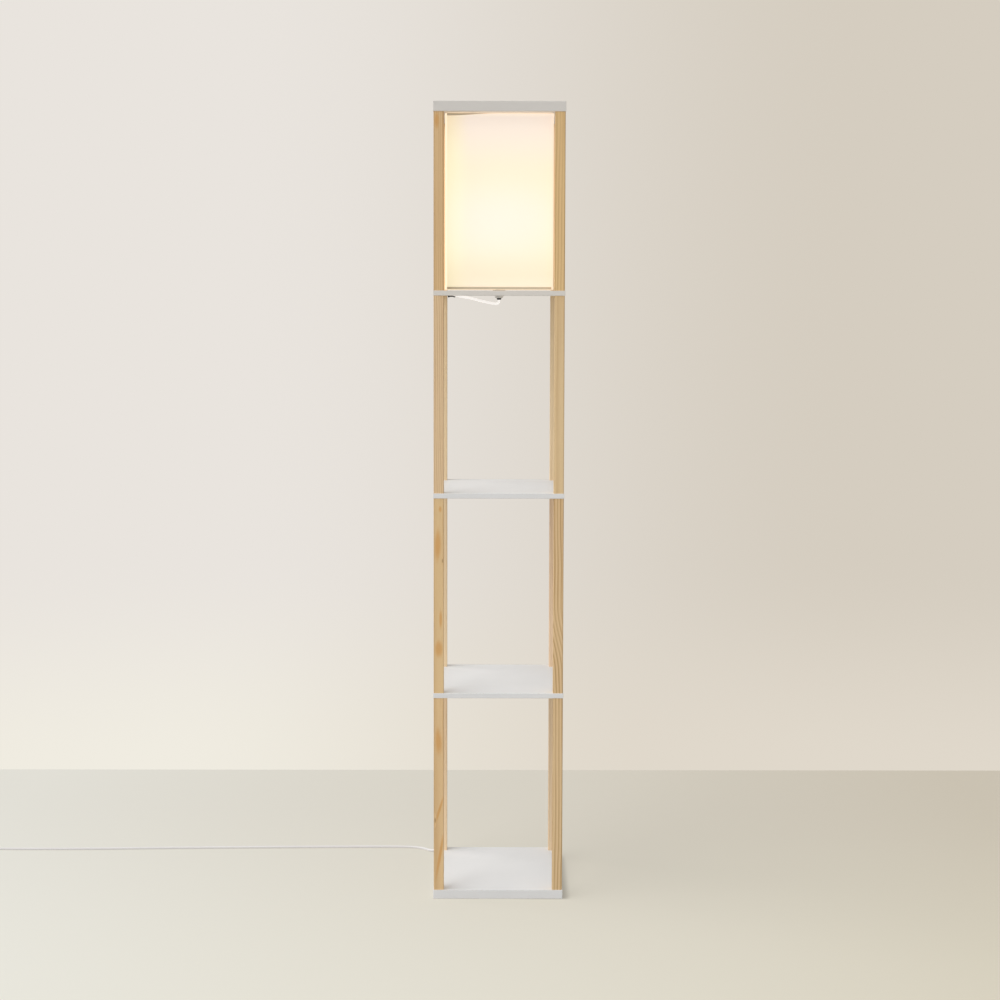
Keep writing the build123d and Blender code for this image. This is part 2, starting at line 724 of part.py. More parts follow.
def wire_square(level):
    """A square of round wire that lies against the shade's inner face."""
    half = SHADE_SIDE / 2 - SHADE_WALL - WIRE_FIT - WIRE_DIA / 2
    corner = SHADE_CORNER - SHADE_WALL - WIRE_FIT
    path = FilletPolyline((0, -half, level), (half, -half, level), (half, 0, level), radius=corner)
    quarter = sweep(Plane(origin=path @ 0, z_dir=path % 0) * Circle(WIRE_DIA / 2), path=path)
    return quarter + [Rot(0, 0, angle) * quarter for angle in (90, 180, 270)]


def spider_arm(angle, low):
    """One arm of the spider, from the bottom wire up to the fitter ring."""
    outer = SHADE_SIDE / 2 - SHADE_WALL - WIRE_FIT - WIRE_DIA / 2
    inner = RING_DIA / 2 + ARM_CLEAR
    high = HOLDER_FLANGE_TOP + FITTER_FIT_UP + FITTER_THICK / 2
    points = [(outer, 0, low), (outer - ARM_FOOT, 0, low), (inner + ARM_FOOT, 0, high), (inner, 0, high)]
    path = FilletPolyline(*points, radius=ARM_BEND)
    section = Plane(origin=path @ 0, z_dir=path % 0) * Circle(WIRE_DIA / 2)
    return Rot(0, 0, angle) * sweep(section, path=path)


def shade_bottom_frame():
    """The bottom wire with its four-armed spider and fitter ring, welded into one."""
    level = SHADE_FLOOR + SHADE_FLOOR_GAP + FRAME_IN_HEM + WIRE_DIA / 2
    low = HOLDER_FLANGE_TOP + FITTER_FIT_UP
    bore = HOLDER_SKIRT_DIA + 2 * FITTER_FIT
    frame = wire_square(level) + tube(FITTER_DIA, bore, low, low + FITTER_THICK)
    for angle in (0, 90, 180, 270):
        frame += spider_arm(angle, level)
    return frame


def shade_top_frame():
    """The top wire, just inside the top hem."""
    return wire_square(CAP_LEVEL - SHADE_CAP_GAP - FRAME_IN_HEM - WIRE_DIA / 2)


# Lead


def lead_tube(name, route):
    """A round lead along straight runs joined by tangent arcs, as large as the runs allow."""
    points = [Vector(*point) for point in route]
    runs = [b - a for a, b in zip(points, points[1:])]
    radii = []
    for before, after in zip(runs, runs[1:]):
        half_turn = math.radians(before.get_angle(after)) / 2
        radii.append(0.45 * min(before.length, after.length) / math.tan(half_turn))
    path = FilletPolyline(*points, radius=radii)
    section = Plane(origin=path @ 0, z_dir=path % 0) * Circle(LEAD_RADIUS)
    lead = sweep(section, path=path)
    expected = math.pi * LEAD_RADIUS**2 * path.length
    print(name, "radii", [round(radius) for radius in radii])
    print(name, f"length {path.length:.1f}, volume {lead.volume / expected:.5f} of section x length")
    return lead


def coil_path():
    """The coil's line: half turns that spiral in on the floor, climb, and spiral out on top."""
    at = Vector(SWITCH_X, COIL_START - COIL_RUN, COIL_LEVEL)
    edges = [Line(at + Vector(0, COIL_RUN, 0), at)]
    climb = COIL_HALF_TURNS // 2
    for turn in range(COIL_HALF_TURNS):
        side = 1 if turn % 2 == 0 else -1
        radius = COIL_OUTER_RADIUS - COIL_PITCH / 2 * (climb - abs(turn - climb))
        rise = COIL_PITCH if turn == climb else 0
        end = at + Vector(2 * radius * side, 0, rise)
        edges += half_turn(at, end, Vector(0, -side, 0))
        at = end
    edges.append(Line(at, at + Vector(0, COIL_RUN, 0)))
    return Wire(edges)


def half_turn(start, end, heading):
    """Two tangent arcs that turn a heading back on itself between two points."""
    join = (start + end) / 2 + heading * ((end - start).length / 2)
    first = TangentArc(start, join, tangent=heading)
    return [first, TangentArc(join, end, tangent=first % 1)]


def coil():
    """The put-away length, wound in two layers as one unbroken tube."""
    path = coil_path()
    section = Plane(origin=path @ 0, z_dir=path % 0) * Circle(LEAD_RADIUS)
    lead = sweep(section, path=path)
    expected = math.pi * LEAD_RADIUS**2 * path.length
    print("coil", f"length {path.length:.1f}, volume {lead.volume / expected:.5f} of section x length")
    print("coil", f"least gap to itself {least_gap(path):.2f}")
    return lead


def least_gap(path):
    """The smallest gap between turns, measured on points along the line."""
    count = int(path.length / GAP_STEP)
    points = [path @ (i / count) for i in range(count + 1)]
    apart = int(3 * LEAD_DIA / GAP_STEP)
    return min(
        (points[j] - points[i]).length
        for i in range(len(points))
        for j in range(i + apart, len(points))
    ) - LEAD_DIA


def coil_tie():
    """A flat tie round the bundle, with its twisted tail standing up."""
    bow = (COIL_PITCH / 2 + TIE_WIDTH / 2) ** 2 / (2 * (COIL_OUTER_RADIUS - COIL_PITCH))
    x = COIL_X + COIL_PITCH / 2
    y = COIL_START - COIL_RUN - COIL_OUTER_RADIUS + COIL_PITCH / 2 + bow / 2
    middle = COIL_LEVEL + COIL_PITCH / 2
    high = COIL_PITCH + LEAD_DIA + 2 * TIE_GAP
    deep = high + bow
    band = RectangleRounded(deep + 2 * TIE_THICK, high + 2 * TIE_THICK, LEAD_RADIUS + TIE_GAP + TIE_THICK)
    band -= RectangleRounded(deep, high, LEAD_RADIUS + TIE_GAP)
    place = Plane(origin=(x, y, middle), x_dir=(0, 1, 0), z_dir=(1, 0, 0))
    strap = extrude(place * band, TIE_WIDTH / 2, both=True)
    top = middle + high / 2
    return strap + slab(TIE_WIDTH, 2 * TIE_THICK, top + TIE_THICK / 2, top + TIE_TAIL, x, y)


# Clips


def clip_levels(tier):
    """The heights of the nail clips on the rear left post of a tier."""
    low, high = TIERS[tier]
    if tier == "lamp_bay":
        return []
    return [low + CLIP_ABOVE_BOARD, high - CLIP_BELOW_SHELF]


def all_clip_levels():
    """The heights of every nail clip."""
    return [level for tier in TIERS for level in clip_levels(tier)]


def nail_x():
    """Where a clip's nail stands, beside the lead."""
    return LEAD_LEFT + LEAD_RADIUS + CLIP_FIT + CLIP_WALL + NAIL_HEAD_DIA / 2 + NAIL_CLEAR


def nail_body(level, diameter, head):
    """A nail driven forwards into the post, its head behind the clip's boss."""
    tip = POST_BACK + CLIP_BOSS_LENGTH - NAIL_LENGTH
    shank = Plane(origin=(nail_x(), tip, level), z_dir=(0, 1, 0)) * Circle(diameter / 2)
    nail = extrude(shank, NAIL_LENGTH)
    if head:
        cap = Plane(origin=(nail_x(), POST_BACK + CLIP_BOSS_LENGTH, level), z_dir=(0, 1, 0))
        nail += extrude(cap * Circle(head / 2), NAIL_HEAD_THICK)
    return nail


def nail_clip(level):
    """A saddle over the lead, flat on the post's back, with a boss for its nail."""
    outer = LEAD_RADIUS + CLIP_FIT + CLIP_WALL
    inner = LEAD_RADIUS + CLIP_FIT
    face = POST_BACK
    low = level - CLIP_HEIGHT / 2
    saddle = cylinder(2 * outer, low, low + CLIP_HEIGHT, LEAD_LEFT, LEAD_BACK)
    saddle += slab(2 * outer, LEAD_BACK - face, low, low + CLIP_HEIGHT, LEAD_LEFT, (LEAD_BACK + face) / 2)
    boss = Plane(origin=(nail_x(), face, level), z_dir=(0, 1, 0)) * Circle(CLIP_BOSS_DIA / 2)
    saddle += extrude(boss, CLIP_BOSS_LENGTH)
    way = cylinder(2 * inner, low - 1, low + CLIP_HEIGHT + 1, LEAD_LEFT, LEAD_BACK)
    mouth = LEAD_BACK - face + 1
    way += slab(2 * inner, mouth, low - 1, low + CLIP_HEIGHT + 1, LEAD_LEFT, LEAD_BACK - mouth / 2)
    return saddle - way - nail_body(level, NAIL_DIA + 2 * WOOD_FIT, 0)


def clamp_plate():
    """The dark plate that keeps the lead in its groove."""
    plate = slab(CLAMP_LONG, CLAMP_WIDE, UPPER_SHELF - CLAMP_THICK, UPPER_SHELF, GROOVE_X, CLAMP_Y)
    plate = fillet(plate.edges().filter_by(Axis.Z), CLAMP_CORNER)
    hole = CLAMP_SCREW_DIA + 2 * WOOD_FIT
    for x, y in clamp_screw_centres():
        plate -= cylinder(hole, UPPER_SHELF - CLAMP_THICK - 1, UPPER_SHELF + 1, x, y)
    return plate


def clamp_screw(x, y):
    """A small pan-head screw up through the clamp plate into the shelf."""
    face = UPPER_SHELF - CLAMP_THICK
    head = cylinder(CLAMP_SCREW_HEAD, face - CLAMP_SCREW_HEAD_THICK, face, x, y)
    return head + cylinder(CLAMP_SCREW_DIA, face, face + CLAMP_SCREW_LENGTH, x, y)


# Foot switch


def capsule(long, wide):
    """The switch's plan outline, long way along Y."""
    return SlotOverall(long, wide, rotation=90)


def relief(x, level, root, tip):
    """A tapered strain relief along Y, from its root to its tip, with ring grooves."""
    side = math.copysign(1, tip - root)
    length = abs(tip - root)
    slope = (RELIEF_ROOT_DIA - RELIEF_TIP_DIA) / 2 / length
    outline = [(0, 0), (RELIEF_ROOT_DIA / 2, 0)]
    for groove in range(1, int(length / RELIEF_PITCH)):
        for at, deep in ((0, 0), (0, 1), (RELIEF_GROOVE, 1), (RELIEF_GROOVE, 0)):
            along = groove * RELIEF_PITCH + at
            radius = RELIEF_ROOT_DIA / 2 - slope * along - deep * RELIEF_GROOVE_DEPTH
            outline.append((radius, along))
    outline += [(RELIEF_TIP_DIA / 2, length), (0, length)]
    place = Plane(origin=(x, root, level), x_dir=(1, 0, 0), z_dir=(0, 0, side))
    return revolve(place * make_face(Polyline(*outline, close=True)), Axis((x, root, level), (0, side, 0)))


def switch_reliefs():
    """The two strain reliefs on the switch's ends."""
    found = []
    for side in (-1, 1):
        root = SWITCH_Y + side * (SWITCH_LONG / 2 - SWITCH_WALL)
        tip = SWITCH_Y + side * (SWITCH_LONG / 2 + RELIEF_LENGTH)
        found.append(relief(SWITCH_X, SWITCH_LEAD_LEVEL, root, tip))
    return found


def screw_places():
    """The plan centres of the switch's two screws."""
    return [(SWITCH_X, SWITCH_Y + side * SWITCH_SCREW_SPACING / 2) for side in (-1, 1)]


def hollow(low, high, wall):
    """The room inside the switch between two levels, behind a wall of the given thickness."""
    plan = capsule(SWITCH_LONG - 2 * wall, SWITCH_WIDE - 2 * wall)
    return extrude(Pos(SWITCH_X, SWITCH_Y, low) * plan, high - low)


def switch_lower_case():
    """The switch's tray, with its screw holes and both strain reliefs."""
    tray = extrude(Pos(SWITCH_X, SWITCH_Y, 0) * capsule(SWITCH_LONG, SWITCH_WIDE), SWITCH_LOWER)
    tray = chamfer(tray.edges().group_by(Axis.Z)[0], SWITCH_WALL / 2)
    for end in switch_reliefs():
        tray += end
    tray -= hollow(SWITCH_WALL, SWITCH_TOP, SWITCH_WALL)
    for x, y in screw_places():
        tray -= cylinder(SWITCH_SCREW_DIA + 2 * WOOD_FIT, -1, SWITCH_LOWER, x, y)
        tray -= cylinder(SWITCH_SCREW_HEAD + SCREW_ROOM, -1, SWITCH_SCREW_FACE, x, y)
    return tray


def switch_upper_case():
    """The domed cover, hollow, with the button's bore and two screw posts."""
    plan = Pos(SWITCH_X, SWITCH_Y, SWITCH_LOWER) * capsule(SWITCH_LONG, SWITCH_WIDE)
    cover = extrude(plan, SWITCH_UPPER)
    cover = fillet(cover.edges().group_by(Axis.Z)[-1], SWITCH_DOME)
    cover -= hollow(SWITCH_LOWER - 1, SWITCH_TOP - SWITCH_WALL, SWITCH_WALL + 1)
    screw = SWITCH_SCREW_DIA + 2 * WOOD_FIT
    hole_top = SWITCH_SCREW_FACE + SWITCH_SCREW_REACH + SCREW_ROOM
    for x, y in screw_places():
        cover += cylinder(SWITCH_POST_DIA, SWITCH_WALL + POST_SEAT, SWITCH_TOP - SWITCH_WALL, x, y)
        cover -= cylinder(screw, SWITCH_WALL - 1, hole_top, x, y)
    bore = BUTTON_DIA + 2 * BUTTON_RUN
    return cover - cylinder(bore, SWITCH_LOWER, SWITCH_TOP + 1, SWITCH_X, SWITCH_Y)


def switch_screw(x, y):
    """One of the two screws that close the switch from beneath."""
    face = SWITCH_SCREW_FACE
    head = cylinder(SWITCH_SCREW_HEAD, face - SWITCH_SCREW_HEAD_THICK, face, x, y)
    return head + cylinder(SWITCH_SCREW_DIA, face, face + SWITCH_SCREW_REACH, x, y)


def switch_module():
    """The sealed push-switch block on the tray's floor, with the stem's bore."""
    block = slab(MODULE_WIDE, MODULE_LONG, SWITCH_WALL, MODULE_TOP, SWITCH_X, SWITCH_Y)
    bore = BUTTON_STEM_DIA + 2 * BUTTON_RUN
    return block - cylinder(bore, MODULE_TOP - 2 * BUTTON_TRAVEL - 1, MODULE_TOP + 1, SWITCH_X, SWITCH_Y)


def switch_button():
    """The round button: a crowned cap, a flange that stops under the cover, a stem below."""
    flange_foot = BUTTON_ROOF - BUTTON_FLANGE_THICK
    cap = cylinder(BUTTON_DIA, flange_foot, SWITCH_TOP + BUTTON_STAND, SWITCH_X, SWITCH_Y)
    cap = fillet(cap.edges().group_by(Axis.Z)[-1], BUTTON_CROWN)
    cap += cylinder(BUTTON_FLANGE_DIA, flange_foot, BUTTON_ROOF, SWITCH_X, SWITCH_Y)
    return cap + cylinder(BUTTON_STEM_DIA, MODULE_TOP - BUTTON_TRAVEL, flange_foot, SWITCH_X, SWITCH_Y)


# Plug


def plug_places():
    """The plug's X, and the Y of its relief's tip, its body's back and its face."""
    tip = coil_path() @ 1
    return tip.X, tip.Y, tip.Y + RELIEF_LENGTH, tip.Y + RELIEF_LENGTH + PLUG_LONG


def plug_body():
    """The moulded plug lying flat: a body that narrows to its grip, and a tapered relief."""
    x, tip, back, face = plug_places()
    stations = [
        (back, PLUG_NECK),
        (back + PLUG_SHOULDER, PLUG_WAIST),
        (face - PLUG_COLLAR, PLUG_WIDE),
        (face, PLUG_WIDE),
    ]
    sections = []
    for y, wide in stations:
        outline = RectangleRounded(wide, min(2 * PLUG_LEVEL, wide), PLUG_CORNER)
        sections.append(Plane(origin=(x, y, PLUG_LEVEL), x_dir=(1, 0, 0), z_dir=(0, 1, 0)) * outline)
    body = loft(sections, ruled=True)
    body += relief(x, PLUG_LEVEL, back + 1, tip)
    grip = face - PLUG_COLLAR - back - PLUG_SHOULDER
    for groove in range(GRIP_GROOVES):
        along = PLUG_COLLAR / 2 + groove * GRIP_PITCH
        half = PLUG_WAIST / 2 + (PLUG_WIDE - PLUG_WAIST) / 2 * along / grip
        for side in (-1, 1):
            middle = x + side * (half + GRIP_DIA / 2 - GRIP_DEPTH)
            body -= cylinder(GRIP_DIA, -1, 2 * PLUG_LEVEL + 1, middle, back + PLUG_SHOULDER + along)
    for pocket in blades(BLADE_FIT):
        body -= pocket
    return body


def blades(grow):
    """The two flat blades, one wider than the other; grow makes them larger all round."""
    x, tip, back, face = plug_places()
    found = []
    for side, wide in ((-1, BLADE_WIDE), (1, NEUTRAL_WIDE)):
        middle = x + side * BLADE_SPACING / 2
        block = Pos(middle, face - BLADE_ROOT - grow, PLUG_LEVEL) * Box(
            BLADE_THICK + 2 * grow,
            BLADE_LENGTH + BLADE_ROOT + grow,
            wide + 2 * grow,
            align=(Align.CENTER, Align.MIN, Align.CENTER),
        )
        block = chamfer(block.edges().filter_by(Axis.X).group_by(Axis.Y)[-1], BLADE_CHAMFER)
        hole_y = face + BLADE_LENGTH - BLADE_HOLE_TO_TIP
        hole = Plane(origin=(middle, hole_y, PLUG_LEVEL), z_dir=(1, 0, 0)) * Circle(BLADE_HOLE_DIA / 2)
        found.append(block - extrude(hole, BLADE_THICK, both=True))
    return found


# The lamp, piece by piece

keep("base_board", base_board())
keep("lower_shelf", shelf(LOWER_SHELF))
keep("middle_shelf", shelf(MIDDLE_SHELF))
keep("upper_shelf", upper_shelf())
keep("top_cap", top_cap())
for tier_name in TIERS:
    for corner_name in CORNERS:
        keep(f"{tier_name}_post_{corner_name}", post(tier_name, corner_name))
keep("base_bolts", *(base_bolt(x, y) for x, y in post_centres()))
keep("hanger_bolts", *(hanger_bolt(level, x, y) for level in SHELVES.values() for x, y in post_centres()))
keep("post_inserts", *post_inserts())
keep("cap_dowels", *(cap_dowel(x, y) for x, y in post_centres()))

keep("holder_stem", stem())
keep("stem_nut", stem_nut())
keep("lower_washer", tube(LOWER_WASHER_DIA, STEM_HOLE_DIA, UPPER_SHELF - LOWER_WASHER_THICK, UPPER_SHELF))
keep("upper_washer", tube(UPPER_WASHER_DIA, STEM_HOLE_DIA, SHADE_FLOOR, SHADE_FLOOR + UPPER_WASHER_THICK))
keep("holder_spacer", tube(SPACER_DIA, STEM_HOLE_DIA, SHADE_FLOOR + UPPER_WASHER_THICK, HOLDER_LEVEL))
keep("lead_bush", lead_bush())
keep("holder_cover", holder_cover())
keep("holder_body", holder_body())
keep("holder_screw_shell", screw_shell())
keep("holder_centre_contact", centre_contact())
keep("shade_ring", shade_ring())

keep("bulb_housing", bulb_housing())
keep("bulb_diffuser", bulb_diffuser())
keep("bulb_light_board", light_board())
keep("bulb_screw_cap", bulb_cap())
keep("bulb_contact", bulb_contact())

keep("shade_fabric", shade_fabric())
keep("shade_top_frame", shade_top_frame())
keep("shade_bottom_frame", shade_bottom_frame())

keep("held_lead", lead_tube("held lead", HELD_ROUTE))
keep("lead_clamp", clamp_plate())
keep("clamp_screws", *(clamp_screw(x, y) for x, y in clamp_screw_centres()))
keep("lead_clips", *(nail_clip(level) for level in all_clip_levels()))
keep("clip_nails", *(nail_body(level, NAIL_DIA, NAIL_HEAD_DIA) for level in all_clip_levels()))

keep("floor_lead", lead_tube("floor lead", FLOOR_ROUTE))
keep("switch_lower_case", switch_lower_case())
keep("switch_upper_case", switch_upper_case())
keep("switch_module", switch_module())
keep("switch_screws", *(switch_screw(x, y) for x, y in screw_places()))
keep("switch_button", switch_button())
keep("lead_tail", lead_tube("lead tail", TAIL_ROUTE))
keep("lead_coil", coil())
keep("coil_tie", coil_tie())
keep("plug_body", plug_body())
keep("plug_blades", *blades(0))

os.makedirs("parts", exist_ok=True)
for name, shape in pieces.items():
    export_step(shape, f"parts/{name}.step")
print(len(pieces), "pieces")
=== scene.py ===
"""Finish and staging of the shelf floor lamp, built round its fixed frame of solids. Metres."""

import math
import random
from dataclasses import dataclass

import bmesh
import bpy
from bpy.props import FloatProperty, FloatVectorProperty, IntProperty, PointerProperty
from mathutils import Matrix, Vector


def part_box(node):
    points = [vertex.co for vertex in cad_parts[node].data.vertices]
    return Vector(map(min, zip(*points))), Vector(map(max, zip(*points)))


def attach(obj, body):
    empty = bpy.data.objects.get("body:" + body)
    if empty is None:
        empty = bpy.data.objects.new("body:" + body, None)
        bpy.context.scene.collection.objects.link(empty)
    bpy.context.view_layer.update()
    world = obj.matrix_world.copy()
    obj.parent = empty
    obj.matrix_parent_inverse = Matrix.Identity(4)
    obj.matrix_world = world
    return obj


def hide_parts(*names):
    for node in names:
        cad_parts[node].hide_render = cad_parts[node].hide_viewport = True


bl_info = {
    "name": "Shelf floor lamp",
    "version": (1, 0, 0),
    "blender": (4, 5, 0),
    "location": "3D View > Sidebar > Shelf lamp",
    "description": "Leads, shade, bulb, finishes and stage of a shelf floor lamp",
    "category": "Object",
}

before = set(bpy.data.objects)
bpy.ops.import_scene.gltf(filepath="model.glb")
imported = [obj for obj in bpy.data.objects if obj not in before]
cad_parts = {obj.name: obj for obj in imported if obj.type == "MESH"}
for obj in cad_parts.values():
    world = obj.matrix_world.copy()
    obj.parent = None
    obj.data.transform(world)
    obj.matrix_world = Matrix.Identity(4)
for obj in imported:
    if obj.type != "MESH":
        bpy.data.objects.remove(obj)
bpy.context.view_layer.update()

SHADE_LOW, SHADE_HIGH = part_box("shade_fabric")
BULB_LOW, BULB_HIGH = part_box("bulb_diffuser")
CAP_LOW, CAP_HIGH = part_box("bulb_screw_cap")

TIERS = ("bottom_bay", "middle_bay", "upper_bay", "lamp_bay")
CORNERS = ("front_left", "front_right", "rear_left", "rear_right")

# The routes of the leads' middles: the control points of their splines.
HELD_LEAD = (
    (0, 0, 1.255),
    (0, 0, 1.2105),
    (0, 0, 1.1948),
    (-0.0105, 0.0116, 1.195),
    (-0.023, 0.0255, 1.1972),
    (-0.039, 0.043, 1.2008),
    (-0.058, 0.061, 1.2059),
    (-0.077, 0.083, 1.2088),
    (-0.091, 0.097, 1.2124),
    (-0.1, 0.112, 1.2139),
    (-0.101, 0.137, 1.2139),
    (-0.109, 0.148, 1.2131),
    (-0.1185, 0.1475, 1.202),
    (-0.1205, 0.1395, 1.184),
    (-0.119, 0.133, 1.164),
    (-0.119, 0.133, 1.143),
    (-0.119, 0.133, 0.069),
)

FLOOR_LEAD = (
    (-0.119, 0.133, 0.069),
    (-0.119, 0.133, 0.054),
    (-0.1205, 0.136, 0.037),
    (-0.124, 0.1405, 0.02),
    (-0.132, 0.1455, 0.0065),
    (-0.145, 0.1515, 0.0025),
    (-0.161, 0.1665, 0.0025),
    (-0.183, 0.176, 0.0025),
    (-0.226, 0.1779, 0.0025),
    (-0.29, 0.1773, 0.0025),
    (-0.362, 0.1763, 0.0025),
    (-0.43, 0.1751, 0.0025),
    (-0.503, 0.1736, 0.0025),
    (-0.57, 0.172, 0.0025),
    (-0.642, 0.17, 0.0025),
    (-0.714, 0.1679, 0.0025),
    (-0.78, 0.1657, 0.0025),
    (-0.852, 0.1632, 0.0025),
    (-0.921, 0.1613, 0.0025),
    (-0.99, 0.1605, 0.0025),
    (-1.05, 0.1608, 0.0025),
    (-1.106, 0.1615, 0.0025),
    (-1.1395, 0.1475, 0.0025),
    (-1.155, 0.122, 0.0025),
    (-1.156, 0.101, 0.005),
    (-1.156, 0.084, 0.005),
)

TAIL_LEAD = (
    (-1.156, -0.034, 0.005),
    (-1.156, -0.048, 0.005),
    (-1.156, -0.063, 0.0036),
    (-1.156, -0.077, 0.0036),
)

# The coil: a radius for each half turn, the half turn that climbs and how far, and its points.
COIL_START = Vector((-1.156, -0.083, 0.0036))
COIL_RADII = (0.0303, 0.0275, 0.0247, 0.0219, 0.0247, 0.0275, 0.0303)
COIL_CLIMB = 3
COIL_RISE = 0.0056
COIL_STEPS = 8
COIL_END = (-1.0898, -0.0775, 0.0092)

# The stage: ways point from what a light lights towards it, and turns are in degrees.
FLOOR_REACH = 9
FLOOR_FADE = 1.15
KEY_WAY = (-0.66, -0.22, 0.6)
PANEL_PLACE = (0.15, -1.9, 0.44)
PANEL_WAY = (0.15, -1.9, -0.4)
PANEL_SIZE = 0.5
CAMERA_PLACE = (-0.0096, -3.3741, 1.2085)
CAMERA_TURN = (90 - 3.794, -0.135, -0.211)
CAMERA_SHIFT = (-0.0004, -0.09373)


def paint(red, green, blue):
    """A colour card's red, green and blue, 0 to 255, as the linear colour that shaders use."""

    def linear(value):
        value /= 255
        return value / 12.92 if value <= 0.04045 else ((value + 0.055) / 1.055) ** 2.4

    return tuple(linear(value) for value in (red, green, blue))


def tint(name, description, *card):
    """A colour property whose default is a colour card."""
    return FloatVectorProperty(
        name=name,
        description=description,
        subtype="COLOR",
        size=3,
        min=0,
        max=1,
        default=paint(*card),
    )


def length(name, description, default):
    """A length property in metres."""
    return FloatProperty(
        name=name, description=description, default=default, min=0, unit="LENGTH", precision=4
    )


def amount(name, description, default):
    """A plain number property that is never negative."""
    return FloatProperty(name=name, description=description, default=default, min=0)


class LampSizes(bpy.types.PropertyGroup):
    """Sizes of the lamp's made pieces."""

    lead: length("Lead", "Diameter of the round flex", 0.005)
    hem: length("Hem", "Height of the shade's rolled hems", 0.006)
    hem_proud: length("Hem roll", "How far a hem stands out from the cloth", 0.0006)
    cloth: length("Cloth", "Thickness of the shade's cloth and backing", 0.0008)
    shade_corner: length("Shade corner", "Radius of the shade's upright corners", 0.005)
    shade_bow: length("Shade bow", "How far a wall of the shade draws in at its middle", 0.0005)
    seam: length("Seam", "Width of the glued overlap on the shade's rear wall", 0.011)
    thread: length("Weave", "Distance between the threads of the linen", 0.0009)
    rings: length("Year rings", "Usual distance between the pine's year rings", 0.005)
    cap_pitch: length("Cap thread", "Pitch of the bulb cap's rolled thread", 0.00363)


class LampColours(bpy.types.PropertyGroup):
    """Colours of the lamp's finishes."""

    lacquer: tint("Lacquer", "White lacquer of the boards", 237, 236, 234)
    # Painted shade: the cap's greyer white stands in for the lesser light on its front.
    lacquer_cap_painted_shade: tint("Lacquer, cap", "Slightly greyer white of the cap", 228, 223, 216)
    # Painted light: the upper shelf's warmer white stands in for the lamp's glow on it.
    lacquer_shelf_painted_glow: tint("Lacquer, shelf", "Warmer white of the shelf under the light", 232, 226, 217)
    lacquer_worn: tint("Lacquer, worn", "Lacquer where eased edges show use", 219, 212, 200)
    pine_pale: tint("Pine, early wood", "Pale wood between the year rings", 243, 209, 161)
    pine_dark: tint("Pine, late wood", "Dark line of each year ring", 196, 152, 100)
    pine_heart: tint("Pine, heart", "Warmer wood in streaks", 206, 158, 104)
    pine_resin: tint("Pine, resin", "Amber stains round old knots", 221, 165, 96)
    beech: tint("Beech", "Wood of the cap's dowels", 214, 178, 137)
    linen: tint("Linen", "Cloth of the shade with the light off", 206, 193, 169)
    glow_near: tint("Glow, near", "Light through the cloth nearest the bulb", 216, 202, 197)
    glow_warm: tint("Glow, warm", "Warmer light round that", 216, 196, 166)
    # Painted light: brightens the left of the shade's front, where the left posts shade it.
    painted_light_left: tint("Glow, left", "Light through the cloth by the left posts", 216, 228, 190)
    glow_far: tint("Glow, far", "Light through the far left of the cloth", 203, 188, 160)
    glow_cool: tint("Glow, cool", "Light through the cloth far from the bulb", 201, 189, 184)
    # Painted light: the shade's bright corner strips and the bright band under the cap.
    painted_edge_light: tint("Glow, edge", "Light through the single cloth at the corners", 233, 216, 192)
    dome: tint("Dome", "Light of the bulb's frosted dome", 255, 238, 205)
    lead: tint("Lead", "White flex", 196, 193, 190)
    white: tint("White plastic", "Moulded fittings", 233, 231, 226)
    enamel: tint("White wire", "Enamel on the shade's wire frames", 232, 231, 228)
    black: tint("Black plastic", "Clamp plate and bush", 38, 37, 36)
    zinc: tint("Zinc", "Plated steel fasteners", 176, 178, 182)
    nickel: tint("Nickel", "Pale plating of the nut under the shelf", 232, 231, 228)
    brass: tint("Brass", "Inserts, blades and contacts", 206, 172, 108)
    aluminium: tint("Aluminium", "Bulb cap and board", 206, 207, 209)


class StageSettings(bpy.types.PropertyGroup):
    """Floor, backdrop, lamps and camera."""

    wall_left: tint("Wall, left", "Backdrop at the left", 233, 228, 222)
    wall_right: tint("Wall, right", "Backdrop at the right", 213, 205, 192)
    foot_left: tint("Wall foot, left", "Backdrop just above the floor, left", 240, 236, 225)
    foot_right: tint("Wall foot, right", "Backdrop just above the floor, right", 224, 216, 203)
    floor_left: tint("Floor, left", "Floor at the back, left", 226, 223, 213)
    floor_right: tint("Floor, right", "Floor at the back, right", 204, 195, 178)
    near_left: tint("Near floor, left", "Floor towards the front, left", 235, 233, 223)
    near_right: tint("Near floor, right", "Floor towards the front, right", 213, 205, 185)
    floor_end: length("Floor end", "Where the floor meets the backdrop", 0.775)
    key: amount("Key", "Strength of the light from the left", 1.85)
    key_size: FloatProperty(
        name="Key size", description="Angle that the key light fills", default=1.1, subtype="ANGLE"
    )
    front: amount("Front", "Watts of the low panel in front", 2.8)
    fill: amount("Fill", "Brightness of the light all round", 0.56)
    lens: FloatProperty(name="Lens", description="Focal length", default=59.33, unit="CAMERA")


class LampSettings(bpy.types.PropertyGroup):
    """All that a user would change on the lamp."""

    sizes: PointerProperty(type=LampSizes)
    colours: PointerProperty(type=LampColours)
    stage: PointerProperty(type=StageSettings)
    seed: IntProperty(name="Seed", description="Start of the wood's variation", default=7)


